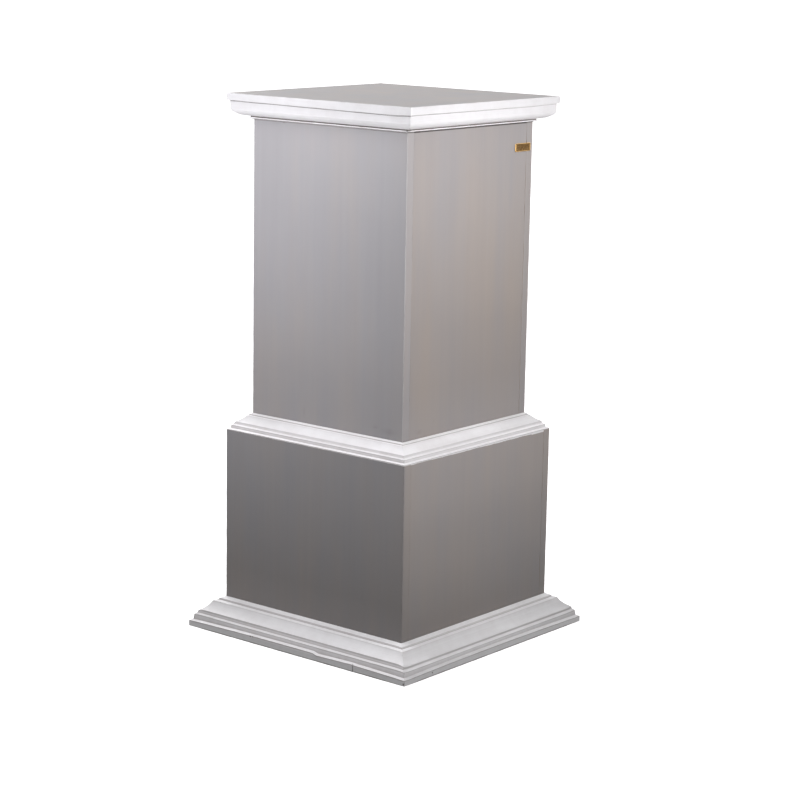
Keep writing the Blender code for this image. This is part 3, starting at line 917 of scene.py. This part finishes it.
# %% Where the points of a length are
ROW, FINE_ROW = 4.0, 0.45  # mm, between rings where nothing happens, and at a dent
MITRE_ROWS = np.array([0.0, 0.06, 0.16, 0.32, 0.5, 0.9, 1.6, 3.0])  # mm, rings next to a mitre
MITRE_OPEN = 0.03  # mm
MEETING = 8.0  # mm from a mitre over which two kinds of outline become one
BEND_REACH = 0.9  # mm, for the arris and the hollow reading


def ring_shares(outer, marks):
    """Shares between -1 and 1 of the way to the mitre where the rings go: even steps, closer ones around
    the marks (place and reach in millimetres), and a few next to both mitres."""
    even = np.arange(-outer + 6.0, outer - 6.0, ROW)
    fine = [np.arange(place - reach, place + reach, FINE_ROW) for place, reach in marks]
    close = np.concatenate([[], *fine])
    if len(close):
        even = even[np.abs(even[:, None] - close[None, :]).min(axis=1) > 0.6 * FINE_ROW]
    return np.unique(np.concatenate([even, close, MITRE_ROWS - outer, outer - MITRE_ROWS])) / outer


def along_ends(share, side):
    """How near a place is to the near end and to the far end of a length, 0 before the middle."""
    toward_near = share if side == "left" else -share
    return smooth_step(toward_near, 0.2, 0.95), smooth_step(-toward_near, 0.1, 0.85)


class Length:
    """A length in the making. Its arrays have a row for each ring and a column for each point: along the
    wall, the section out from it plus i times up, and from the mitre, all in mm."""

    def __init__(self, name, side, wall, outline, seed, marks=(), rise=None, lift=0.0, meeting=0.0):
        self.name, self.side, self.outline, self.seed = name, side, outline, seed
        self.wide = wall / MM
        self.share = ring_shares(self.wide + outline.real.max(), marks)[:, None]
        self.along = self.share * (self.wide + outline.real - MITRE_OPEN)
        self.from_mitre = (self.wide + outline.real) * (1 - np.abs(self.share))
        self.section = np.broadcast_to(outline, self.along.shape)
        if rise is not None:
            met = meeting * bell(self.from_mitre, MEETING)
            self.section = self.section + lift * rise(self.along) + met
        self.distance = lengths_along(outline)
        self.bend = bends(outline, BEND_REACH)
        self.upright = (-directions(outline).imag).clip(0.0, 1.0) ** 2
        self.at_near, self.at_far = along_ends(self.share, side)


# %% [markdown]
# Wear moves the points inwards, along the outline's normal. Dents and nicks are small bell-shaped moves,
# a split is a narrow slot, and the arrises next to a near mitre, which passers-by knock, are blunted.

# %% Wear of a length
MITRE_ROUND = 0.45  # mm
KNOCK_DEEP, KNOCK_WIDE, KNOCK_LONG = 1.3, 2.2, 6.0  # mm, arrises blunted next to a mitre


def dent(m, place, out, up, reach, depth):
    """How deep a dent is at each point: its depth times exp(-(distance / reach)^2)."""
    square = (m.along - place) ** 2 + (m.section.real - out) ** 2 + (m.section.imag - up) ** 2
    return depth * np.exp(-square / reach ** 2)


def worn_in(m, spots, splits):
    """How far each point is moved inwards in mm, and the dirt that lies in its dents and splits."""
    uneven = UNEVEN * (1 + wander(m.along + 3.0 * m.distance, m.seed, 240.0)).clip(0.0)
    rubbed = 0.16 + 0.20 * wander(m.along + 37.0 * np.round(m.distance / 6.0), m.seed + 1, 46.0)
    knocks = 0.3 + 0.7 * m.at_near * (m.side in ("left", "front"))
    blunt = KNOCK_DEEP * knocks * bends(m.outline, KNOCK_WIDE).clip(0.0, 1.0)
    depth = (eased(m.from_mitre, MITRE_ROUND) + uneven + (m.bend.clip(0.0, 1.0) * rubbed).clip(0.0)
             + blunt * bell(m.from_mitre, KNOCK_LONG))
    dirt = np.zeros(m.along.shape)
    for spot in spots:
        pressed = dent(m, *spot)
        depth = depth + pressed
        dirt = np.maximum(dirt, np.minimum(1.0, 1.6 * pressed / spot[-1]))
    for place, width, top, deep in splits:
        inside = np.exp(-((m.along - place) / (0.5 * width)) ** 4) * (m.section.imag < top)
        inside = inside * (m.section.real > m.outline.real.max() - 1.5)
        depth = depth + deep * inside
        dirt = np.maximum(dirt, inside)
    return depth, dirt


# %% [markdown]
# Each length has a row of numbers: how light it is, partly its own coat and partly painted light on that
# face, how much painted shade lies on its risers and painted shadow under its arrises, where a painted
# shadow line lies under the cove's lip, and how much painted light its ledges and its two ends take.

# %% Looks of the lengths
Look = namedtuple("Look", "tone glaze under lip lip_dark upper lower near far")
LOOKS = {  # lip is in mm above the foot, upper and lower are how much painted light the ledges take, near and far that of the ends
    "base_moulding_left": Look(1.0, 0.9, 1.7, 32.7, 0.55, 0.20, 0.18, 0.0, -0.11),
    "base_moulding_front": Look(0.97, 0.63, 1.36, 28.7, 0.9, 0.10, -0.16, 0.0, -0.12),
    "base_moulding": Look(0.98, 0.9, 1.7, 0.0, 0.0, 0.08, 0.0, 0.0, 0.0),
    "band_moulding_left": Look(0.98, 0.85, 1.4, 15.2, 0.45, 0.20, 0.18, 0.0, -0.16),
    "band_moulding_front": Look(0.90, 0.425, 1.26, 15.1, 0.45, 0.10, -0.16, 0.02, -0.17),
    "band_moulding": Look(0.96, 0.85, 1.4, 0.0, 0.0, 0.08, 0.0, 0.0, 0.0),
    "cap_moulding_left": Look(0.87, 0.0, 0.0, 0.0, 0.0, 0.24, 0.0, 0.08, -0.08),
    "cap_moulding_front": Look(0.88, 0.0, 0.0, 0.0, 0.0, 0.10, 0.0, -0.04, 0.0),
    "cap_moulding": Look(0.92, 0.0, 0.0, 0.0, 0.0, 0.15, 0.0, 0.0, 0.0),
}
HOLLOW_DARK_ABOVE = {"base_moulding": 40.0, "band_moulding": 20.0, "cap_moulding": 0.0}  # mm, above which the hollows take their dirt and painted shade in full
LOW_HOLLOW = 0.15  # what is left of that dirt and painted shade in the hollows below the level
LEDGE_LEVEL = {"base_moulding": 40.0, "band_moulding": 0.0}  # mm, between the upper and the lower ledges
FAR_FROM = {"base_moulding": (12.5, 15.0), "band_moulding": (11.0, 17.0), "cap_moulding": (0.0, 1.0)}
LIP_LINE, LIP_LINE_HALF = 2.4, 1.3  # mm, from the cove's lip down to the painted shadow line, and its half
MITRE_DARK = 0.75  # painted shadow on the left risers at the near mitre
FOOT_SHADE = {"left": 0.22, "front": 0.12}  # how much darker the upright foot is, a painted shade


def step_readings(m):
    """Two readings for painted shade. Riser: how upright a face is, times exp(-distance / 5 mm) from the
    nearest hollow. Under: a bell 1 mm past each arris, times how upright the face is there, for the
    painted shadow under the arris."""
    apart = np.abs(m.distance[:, None] - m.distance[None, m.bend < -0.35])
    past = m.distance[:, None] - m.distance[None, :]
    after = bell(past - 1.1, 0.8) * (past > 0.0)
    under = (after @ turns(m.outline).clip(0.0) / RIGHT_ANGLE).clip(0.0, 1.0)
    return m.upright * np.exp(-apart.min(axis=1) / 5.0), m.upright * under


def lightness(m, look):
    """How light each point is, 1 in the middle, as painted light and shade: more on a level ledge or on the
    round of the cap, and more or less towards both ends."""
    up = m.outline.imag
    if m.name == "cap_moulding":
        ledge = look.upper * smooth_step(-up, -20.0, -14.0)
    else:
        level = directions(m.outline).real.clip(0.0, 1.0) ** 4
        ledge = level * np.where(up > LEDGE_LEVEL[m.name], look.upper, look.lower)
    return 1.0 + ledge + look.near * m.at_near + look.far * m.at_far * smooth_step(up, *FAR_FROM[m.name])


def settled_dirt_and_shade(m, smudges, soil_and_shade):
    """Painted shadow at the near mitre, dirt in smudges, and the dirt and painted shadow the given function
    puts.
    """
    is_lined = m.side == "left" and m.name != "cap_moulding"
    # painted shadow of the step at the near mitre
    dirt = MITRE_DARK * is_lined * m.at_near * m.upright * np.exp(-m.from_mitre / 0.7)
    for smudge in smudges:
        dirt = np.maximum(dirt, dent(m, *smudge))
    if soil_and_shade is not None:
        dirt = np.maximum(dirt, soil_and_shade(m.along, m.section.real, m.section.imag))
    return dirt


def foot_shade_and_wear(m):
    """Of a foot on the floor: how much darker its face is, a painted shade; how far its edge rises in mm;
    and its line of dirt and painted contact shadow, which fades towards the mitres."""
    out, up = m.section.real, m.section.imag
    darker = FOOT_SHADE.get(m.side, 0.16) * smooth_step(-up, -13.0, -9.0) * (out > 40.0)
    raised = 0.15 * (1 + wander(m.along, m.seed + 5, 60.0)) * np.exp(-up / 0.9) * (out > 30.0)
    line = bell(up, 2.2) * np.minimum(1.0, m.from_mitre / 60.0 + 0.2)
    return darker, raised, line * (0.95 + 0.2 * wander(m.along, m.seed + 6, 90.0))


# %% One length of moulding
def moulding_rings(m, moved, foot):
    """The rings of a length in metres, turned to its side, with one more point at the wall where the
    outline ends away from it."""
    local = np.stack([m.along, -(m.wide + moved.real), foot / MM + moved.imag.clip(0.0)], axis=-1)
    if m.outline[-1].real > 1.0:
        along = m.share * (m.wide - MITRE_OPEN)
        at_wall = np.broadcast_arrays(along, -m.wide, foot / MM + m.outline[-1].imag)
        local = np.concatenate([local, np.stack(at_wall, axis=-1)], axis=1)
    return turned(local * MM, SIDES[m.side])


def moulding(m, foot, spots=(), splits=(), smudges=(), soil_and_shade=None):
    """One mitred length: the outline at every ring, moved in along its normal by its wear."""
    node = m.name + "_" + m.side
    look = LOOKS.get(node, LOOKS[m.name])
    depth, dirt = worn_in(m, spots, splits)
    dirt = np.maximum(dirt, settled_dirt_and_shade(m, smudges, soil_and_shade))
    moved = m.section - 1j * directions(m.outline) * depth
    # painted light and shade along the length: ledges, the cap's round and both ends
    light = lightness(m, look)
    if m.name == "base_moulding":
        # the foot: painted shade on its face, and a line of dirt and painted contact shadow
        darker, raised, line = foot_shade_and_wear(m)
        light, moved, dirt = light - darker, moved + 1j * raised, np.maximum(dirt, line)
    # painted shade on the risers, and painted shadow under the arrises and under the cove's lip
    riser, under = step_readings(m)
    lip_line = look.lip_dark * bell(m.outline.imag - look.lip + LIP_LINE, LIP_LINE_HALF)
    # dirt and painted shade in the hollows, less of it low down
    hollow_share = np.where(m.outline.imag > HOLLOW_DARK_ABOVE[m.name], 1.0, LOW_HOLLOW)
    readings = {"arris": m.bend.clip(0.0, 1.0), "hollow": (-m.bend).clip(0.0, 1.0) * hollow_share,
                "riser": riser * look.glaze, "under": under * look.under + lip_line, "dirt": dirt,
                "tone": look.tone * light}
    return ring_piece(node, moulding_rings(m, moved, foot), readings,
                      (m.along + 5000.0 * m.seed, m.distance), [MOULDING_PAINT, BOARD_WOOD],
                      len(m.outline), (False, False))


# %% [markdown]
# The foot of the left length drops by almost 3 mm where a piece has come off, and again at a split near
# the corner. Both are one curve of the foot's height along the length, which the outline's lift turns
# into a shape.

# %% Wear of the base
LEFT_BOW, FRONT_BOW = 2.3, 1.9  # mm, higher in the middle than at the mitres
CHIP_START, CHIP_LENGTH, CHIP_DROP, CHIP_MEND = 48.0, 10.0, 2.8, 80.0
SPLIT_PLACE, SPLIT_WIDTH, SPLIT_TOP, SPLIT_DEEP, SPLIT_DROP = 144.3, 1.2, 14.0, 4.0, 0.3


def foot_bow(along, bow=FRONT_BOW):
    """Height of the foot over its height at the mitres: a parabola."""
    return bow * (1 - (along * MM / BASE_WALL) ** 2)


def worn_foot(along):
    """The bow, less a drop that falls over the chip's length and mends after it, and less a step at the
    split."""
    past = along - CHIP_START
    fallen = np.clip(past / CHIP_LENGTH, 0.0, 1.0)
    mended = np.clip((past - CHIP_LENGTH) / CHIP_MEND, 0.0, 1.0)
    drop = CHIP_DROP * fallen * (1 - mended)
    return foot_bow(along, LEFT_BOW) - drop - SPLIT_DROP * (along > SPLIT_PLACE)


def at_level(up):
    """Out and up of the point of the base outline at a height."""
    return float(np.interp(-up, -base_outline.imag, base_outline.real)), up


# %% The four lengths of the base
FILLET = base_outline.real.max()
COVE_MARK = at_level(41.5)
SPOTS = {  # place along the length, out, up, reach and depth, all in mm
    "left": [(-105.0, FILLET, 12.2, 1.3, 0.9), (-99.0, FILLET, 12.5, 1.1, 0.8),
             (-212.0, *at_level(48.6), 1.1, 0.9)],
    "front": [(-186.0, FILLET, 6.6, 1.5, 1.2)],
}
SMUDGES = {  # the same, with how dark they are in place of the depth
    "left": [(237.0, *at_level(45.0), 4.0, 0.6), (262.5, FILLET, 3.5, 2.6, 1.0)],
    "front": [(158.0, *COVE_MARK, 1.8, 0.35), (158.0, COVE_MARK[0] + 1.5, COVE_MARK[1] - 3.0, 1.8, 0.35),
              (-241.0, *at_level(49.5), 4.0, 0.7), (-236.0, *at_level(53.0), 3.0, 0.6)],
}
SPLITS = {"left": [(SPLIT_PLACE, SPLIT_WIDTH, SPLIT_TOP, SPLIT_DEEP)]}
CLOSE_ROWS = {  # place and reach of the closer rings around the split and the chip, in mm
    "left": [(SPLIT_PLACE, SPLIT_WIDTH + 0.9), (CHIP_START + CHIP_LENGTH / 2, 7.0)],
}
for index, side in enumerate(SIDES):
    outline, lift, meeting = base_outlines(side)
    spots, splits = SPOTS.get(side, []), SPLITS.get(side, [])
    marks = [(place, 1.6 * reach) for place, _, _, reach, _ in spots] + CLOSE_ROWS.get(side, [])
    m = Length("base_moulding", side, BASE_WALL, outline, 40 + index, marks,
               worn_foot if side == "left" else foot_bow, lift, meeting)
    made = moulding(m, 0.0, spots, splits, SMUDGES.get(side, []))
    print(made.name, len(made.data.polygons), "faces")

# %% [markdown]
# Painted shadow marks the joints of the cap. It fills the groove under the round, lies on the splay,
# most of all at the front, and follows the seam between the cap and the top board, and a little dirt
# lies at the near mitre. The left and the front edges of that board hang a little lower over the cap, so
# the seam drops with them.

# %% The band and the cap
SEAM = {"left": (1.0, 0.9), "front": (0.9, 0.6)}  # how dark the painted shadow along the seam is at the near end and the far one
SEAM_DROP, SEAM_HALF = 0.5, 0.75  # mm below the edge of the top board, and from the middle of the line
# how dark the painted shade on the cap's splay is
SPLAY_SHADE = {"left": 0.6, "front": 1.0}
GROOVE_FOOT, GROOVE_TOP, GROOVE_OUT = 3.8, 5.7, 5.8  # mm above the cap's foot, and out from the wall, of the groove's painted shadow
LEFT_HANG, FRONT_HANG = 2.9, 1.2  # mm, how much lower the edges of the top board hang at most


def hang(share, side):
    """How many mm lower an edge of the top board hangs, at a share of the way to the near corner: on the
    left h share^1.1, less by 0.62 of it at the corner, and on the front level but for its far end and a
    little at its near one."""
    if side == "left":
        return LEFT_HANG * share ** 1.1 * (1 - 0.62 * smooth_step(share, 0.90, 1.0))
    return FRONT_HANG * smooth_step(share, 0.04, 0.2) * (1 - 0.3 * smooth_step(share, 0.7, 0.9))


def cap_soil_and_shade(side):
    """Painted shadow and dirt on a cap length, as a function of the place along it and on its outline:
    full painted shadow in the groove, painted shade on the splay, a bell of painted shadow around the
    seam, and dirt at the near mitre."""
    near_dark, far_dark = SEAM.get(side, (0.4, 0.4))
    seam_top = cap_outline.imag.max()

    def soil_and_shade(along, out, up):
        toward_near = along if side == "left" else -along
        share = 0.5 + 0.5 * (toward_near * MM / TOP_HALF).clip(-1.0, 1.0)
        drop = SEAM_DROP + hang(share, side) * (side in SEAM) + 0.2 * wander(along, 81, 120.0)
        dark = far_dark + (near_dark - far_dark) * share
        # painted shadow under the top board's edge, along the seam
        seam = dark * bell(seam_top - drop - up, SEAM_HALF) * (out > 20.0)
        # painted shadow filling the groove, and painted shade on the splay
        groove = ((up > GROOVE_FOOT) & (up < GROOVE_TOP) & (out < GROOVE_OUT)) * 1.0
        splay = SPLAY_SHADE.get(side, 0.5) * (up < 2.0)
        to_mitre = CAP_WALL / MM + out - toward_near
        mitre = 0.5 * np.exp(-to_mitre / 0.6) * (side == "left")
        blot = bell(to_mitre, 2.2) * bell(up - 5.0, 1.6) * (side in SEAM)
        return np.maximum.reduce([seam, groove, splay, mitre, blot])

    return soil_and_shade


for index, side in enumerate(SIDES):
    band = moulding(Length("band_moulding", side, BAND_WALL, band_outline(side), 50 + index), BAND_FOOT)
    cap = moulding(Length("cap_moulding", side, CAP_WALL, cap_outline, 60 + index), CAP_FOOT,
                   soil_and_shade=cap_soil_and_shade(side))
    print(band.name, len(band.data.polygons), "and", cap.name, len(cap.data.polygons), "faces")

# %% [markdown]
# ## Top board
#
# A square board with all its edges eased. Here the outline runs from the middle of the top over the edge
# and back under to the middle, and each ring is the square's border, with small round corners, at one
# point of it. A narrow lip under the left and the front edges gives them their hang.

# %% The top board
TOP_EASE, TOP_CORNER = 1.7, 0.8  # mm, rounding of its arrises, and of its corners in plan
TOP_RIM = 30.0  # mm, how far in the edge's own points go
LIP = 4.3  # mm, how far in from the edge the underside hangs lower
MIDDLE_SHARES = np.array([0.004, 0.15, 0.3, 0.45, 0.6, 0.75])  # rings between the middle and the rim


def square_border(half, radius):
    """Points around a square with round corners, anticlockwise from the middle of its right side, as
    complex numbers: one side with its corner, turned three times by a right angle."""
    straight = np.arange(-(half - radius), half - radius, 4.0)
    corner = (half - radius) * (1 + 1j) + radius * np.exp(1j * np.linspace(0.0, RIGHT_ANGLE, 7))
    side = np.concatenate([half + 1j * straight, corner])
    return np.concatenate([side * 1j ** quarter for quarter in range(4)])


def lip_drop(place):
    """How much lower the foot of the left and front edges is, at places x + iy in millimetres."""
    half = TOP_HALF / MM
    drops = []
    for across, out, side in ((place.imag, -place.real, "left"), (place.real, -place.imag, "front")):
        share = (0.5 - 0.5 * across / half).clip(0.0, 1.0)
        drops.append(hang(share, side) * smooth_step(out, half - LIP - 0.1, half - LIP + 0.3))
    return np.maximum(*drops)


def top_board():
    """Rings from the middle of the top face to the middle of the underside: the border of the square,
    drawn in by the outline's distance from the edge and by the wear, with the lips let down."""
    half, thick = TOP_HALF / MM, (TOP_FACE - TOP_FOOT) / MM
    edge = np.array([half - TOP_RIM + 1j * thick, half + 1j * thick, half + 0j, half - TOP_RIM + 0j])
    shrink = MIDDLE_SHARES * half
    outline = refined(softened(edge, TOP_EASE), 2.0)
    outline = np.concatenate([shrink + 1j * thick, outline, shrink[::-1] + 0j])
    border = square_border(half, TOP_CORNER)
    distance, around = lengths_along(outline)[:, None], lengths_along(border)
    out, up = outline.real[:, None], outline.imag[:, None]
    bend = bends(outline, 1.1).clip(0.0, 1.0)[:, None]
    worn = bend * (0.22 + 0.20 * wander(around, 72, 55.0)).clip(0.0)
    uneven = UNEVEN * (1 + wander(around + 2.0 * distance, 71, 160.0)).clip(0.0)
    flat = border * (out - uneven * (out > half - 20.0) - worn) / half
    level = up + np.where(up > thick / 2, -1.0, 1.0) * worn * 0.7
    level = level - lip_drop(flat) * (1 - smooth_step(up, 0.0, 0.8 * thick))
    rings = np.stack([flat.real, flat.imag, TOP_FOOT / MM + level], axis=-1) * MM
    at_near, at_far = along_ends(-flat.imag / half, "left")
    look = LOOKS["cap_moulding_left"]
    on_left = smooth_step(-flat.real, half - 3.0, half - 2.0)
    # painted light and shade: the left edge lighter towards the near end and darker towards the far one
    readings = {"arris": bend, "tone": 1.0 + (look.near * at_near + look.far * at_far) * on_left}
    readings.update(dict.fromkeys(("hollow", "riser", "under", "dirt"), 0.0))
    run = (around + 9000.0, distance)
    return ring_piece("top_board", rings, readings, run, [TOP_PAINT])


top = top_board()
print(top.name, len(top.data.polygons), "faces, volume", round(volume_of(top.data) * 1e6), "cm3")

# %% [markdown]
# ## Plate
#
# The front carries a small plain brass plate near its right corner: a raised rim around a sunk field,
# with rows of shallow strokes that say nothing. Its front is one sheet of points, each moved out by a
# height, and closed by a flat back.

# %% Shape of the plate
plate_low, plate_high = corners("name_plate")
PLATE_SPACING = 0.22  # mm, between points
PLATE_ROUND = 2.2  # mm, its corners
PLATE_EASE, PLATE_EASE_WIDE = 0.35, 0.5  # mm, rounding of its border
PLATE_RIM = 1.1  # mm
FIELD_DEEP, FIELD_SLOPE = 0.45, 0.5  # mm, the field under the rim, and the slope down to it
STROKE_DEEP, STROKE_HALF = 0.18, 0.32  # mm
STROKES = [(-9.0, 2.6, 4.6), (2.5, 2.6, 3.4), (12.0, 2.6, 2.6), (-12.0, -0.4, 3.0), (-3.2, -0.4, 3.6),
           (7.0, -0.4, 4.4), (-6.0, -3.2, 3.2), (4.0, -3.2, 4.8)]  # middle, level and half length, mm


def rounded_sheet(half_wide, half_high):
    """Points over a rectangle with round corners: an even grid whose points beyond a corner's arc are
    drawn in to it, plus the distance of each one from the border."""
    across = np.linspace(-half_wide, half_wide, int(2 * half_wide / PLATE_SPACING) + 1)
    up = np.linspace(-half_high, half_high, int(2 * half_high / PLATE_SPACING) + 1)
    grid = across[None, :] + 1j * up[:, None]
    most_wide, most_high = half_wide - PLATE_ROUND, half_high - PLATE_ROUND
    centre = grid.real.clip(-most_wide, most_wide) + 1j * grid.imag.clip(-most_high, most_high)
    offset = grid - centre
    reach = np.abs(offset)
    square = np.maximum(np.abs(offset.real), np.abs(offset.imag))
    drawn = centre + offset * np.where(reach > 0.0, square / np.maximum(reach, 1e-9), 1.0)
    border = np.minimum(half_wide - np.abs(grid.real), half_high - np.abs(grid.imag))
    return drawn, np.minimum(border, PLATE_ROUND - square + np.where(reach > 0.0, 0.0, FAR_OFF))


def plate_relief(sheet, border, thick):
    """Height of the front: the thickness, less a rounding at the border, less the field's depth inside
    the rim, less a trough along each stroke. Also how sunk each point is, for the tarnish."""
    field = smooth_step(border, PLATE_RIM, PLATE_RIM + FIELD_SLOPE)
    stroke = np.zeros(sheet.shape)
    for place, level, half_long in STROKES:
        beside = np.maximum(np.abs(sheet.real - place) - half_long, 0.0)
        gap = np.hypot(beside, sheet.imag - level)
        stroke = np.maximum(stroke, 1 - smooth_step(gap, 0.4 * STROKE_HALF, 1.6 * STROKE_HALF))
    rounding = PLATE_EASE * (1 - smooth_step(border, 0.0, PLATE_EASE_WIDE))
    height = thick - rounding - FIELD_DEEP * field - STROKE_DEEP * stroke
    return height, (0.75 * field + 0.6 * stroke).clip(0.0, 1.0)


def sheet_faces(rows, columns):
    """Faces of a sheet, of the same sheet behind it, and of the walls between their borders."""
    number = np.arange(rows * columns).reshape(rows, columns)
    around = (number[:-1, :-1], number[:-1, 1:], number[1:, 1:], number[1:, :-1])
    front = np.stack(around, axis=-1).reshape(-1, 4)
    loop = np.concatenate([number[0, :-1], number[:-1, -1], number[-1, :0:-1], number[:0:-1, 0]])
    following = np.roll(loop, -1)
    walls = np.stack([following, loop, loop + number.size, following + number.size], axis=-1)
    return np.concatenate([front, front[:, ::-1] + number.size, walls]).tolist()


# %% The small plate
def plate():
    """The sheet at its relief, and again at the wall, joined along the border."""
    size = (plate_high - plate_low) / MM
    sheet, border = rounded_sheet(size[0] / 2, size[2] / 2)
    height, sunk = plate_relief(sheet, border, size[1])
    points = np.concatenate([np.stack([sheet.real, -up, sheet.imag], axis=-1).reshape(-1, 3)
                             for up in (height, 0.0 * height)]) * MM
    middle = (plate_low + plate_high) / 2
    points += np.array([middle[0], plate_high[1], middle[2]])
    mesh = bpy.data.meshes.new("dressed_name_plate")
    mesh.from_pydata(points.tolist(), [], sheet_faces(*sheet.shape))
    readings = {"hollow": np.concatenate([sunk.ravel(), np.zeros(sheet.size)])}
    return finished_piece("name_plate", mesh, readings, None, [PLATE_BRASS])


tag = plate()
print(tag.name, len(tag.data.polygons), "faces")

# %% [markdown]
# ## The deck
#
# The inset board that carries the shaft stays as packed: flat, and seen only from below, so it only
# needs its wood.

# %% Wood on the deck
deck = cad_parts["plinth_deck"]
deck.data.materials.clear()
deck.data.materials.append(DECK_WOOD)
print("deck keeps its", len(deck.data.polygons), "faces")

# %% [markdown]
# ## Stage and light
#
# The floor is a wide white sheet that glows a little, as a photographer's light table does, and more so
# further off, so that it stays white as far as the camera sees and still shows a soft shadow at the foot.
# It throws no light back on the column, whose lower box is much darker than its shaft.

# %% Floor
FLOOR_HALF = 60.0  # m
GLOW_NEAR, GLOW_FAR = 0.62, 1.05  # light given off by the sheet at the foot and further off
GLOW_REACH = (0.5, 2.2)  # m from the column, where the glow rises


def floor_finish():
    """Pale and dull, with a glow that rises with the distance sqrt(x^2 + y^2) from the column."""
    f = Finish("pale_floor")
    x, y, _ = f.axes(f.place())
    far_off = (x * x + y * y).power(0.5).between(*GLOW_REACH)
    glow = f.blend(rgb(*[GLOW_NEAR] * 3), rgb(*[GLOW_FAR] * 3), far_off)
    f.feed(f.shader, {"Emission Color": glow, "Emission Strength": 1.0})
    tone = f.cloud(f.place(), 2.0, 0.5, 1.3)
    colour = f.blend(rgb(0.88, 0.88, 0.88), rgb(0.92, 0.92, 0.92), tone)
    return f.paint(colour, 0.9 + tone * 0.05, tone, 0.1)


mesh = bpy.data.meshes.new("floor")
floor_corners = [(x * FLOOR_HALF, y * FLOOR_HALF, 0.0) for x, y in ((-1, -1), (1, -1), (1, 1), (-1, 1))]
mesh.from_pydata(floor_corners, [], [(0, 1, 2, 3)])
mesh.materials.append(floor_finish())
floor = added("floor", mesh)
floor.visible_diffuse = False
floor.visible_glossy = False

# %% [markdown]
# Two soft panels stand close to the near faces, level with the cap, because only near light falls off
# down the boards as it does on the real one. Three larger ones, further off, light the ledges and the two
# far faces, and a small one hangs over the top.

# %% Lights
LIGHTS = {  # place and width in metres, power in watts, colour
    "left_near": ((-0.70, 0.22, 0.90), 0.4, 2.7, (0.99, 0.985, 1.04)),
    "front_near": ((-0.10, -0.87, 0.90), 0.5, 5.6, (1.0, 0.99, 1.02)),
    "high_behind": ((-1.76, 1.60, 2.60), 1.2, 27.0, (1.0, 1.0, 1.02)),
    "over_top": ((0.03, 0.05, 2.00), 0.5, 2.6, (1.0, 1.0, 1.01)),
    "right_wide": ((1.40, -0.35, 1.35), 0.8, 7.0, (1.0, 1.0, 1.0)),
    "back_wide": ((0.35, 1.40, 1.35), 0.8, 8.0, (1.0, 1.0, 1.0)),
}
AIM = (0.0, 0.0, 0.72)
NEARLY_UPRIGHT = 0.9


def panel_light(name, place, width, power, colour):
    """A soft square light that faces the column, and that the camera doesn't see."""
    lamp = bpy.data.lights.new(name, 'AREA')
    lamp.shape = 'RECTANGLE'
    lamp.size = width
    lamp.size_y = width
    lamp.energy = power
    lamp.color = colour
    panel = added(name, lamp)
    panel.visible_camera = False
    away = np.array(place) - np.array(AIM)
    back = away / np.linalg.norm(away)
    right = np.cross([0.0, 0.0, 1.0] if abs(back[2]) < NEARLY_UPRIGHT else [1.0, 0.0, 0.0], back)
    right = right / np.linalg.norm(right)
    set_at(panel, place, (right, np.cross(back, right), back))


for name, light in LIGHTS.items():
    panel_light(name, *light)
print("lights:", ", ".join(LIGHTS))

# %% [markdown]
# The sky is white to the camera. As light it's a soft glow from the right and from behind, which fills
# the top, the ledges and the two far faces, and hardly reaches the two near ones.

# %% Sky
SKY_RIGHT, SKY_BACK, SKY_TOP, SKY_BELOW = 0.50, 0.45, 0.34, 0.42


def sky():
    """Light from a direction (x, y, z): right * max(x, 0) + back * max(y, 0) + top * z^2 above the
    horizon, and an even light below it. White to the camera."""
    world = bpy.data.worlds.new("studio")
    bpy.context.scene.world = world
    world.use_nodes = True
    world.node_tree.nodes.clear()
    s = Nodes(world.node_tree)
    x, y, z = s.axes(s.node("ShaderNodeTexCoord", {}, {})["Generated"])
    upper = z.above(0.0)
    glow = x.most(0.0) * SKY_RIGHT + y.most(0.0) * SKY_BACK + z * z * SKY_TOP
    lit = s.node("ShaderNodeBackground", {}, {"Color": upper * glow + (1.0 - upper) * SKY_BELOW})[0]
    seen = s.node("ShaderNodeBackground", {}, {"Color": rgb(1.0, 1.0, 1.0)})[0]
    is_camera = s.node("ShaderNodeLightPath", {}, {})["Is Camera Ray"]
    chosen = s.node("ShaderNodeMixShader", {}, [is_camera, lit, seen])[0]
    s.node("ShaderNodeOutputWorld", {}, {"Surface": chosen})


sky()
bpy.context.scene.view_settings.view_transform = 'Standard'
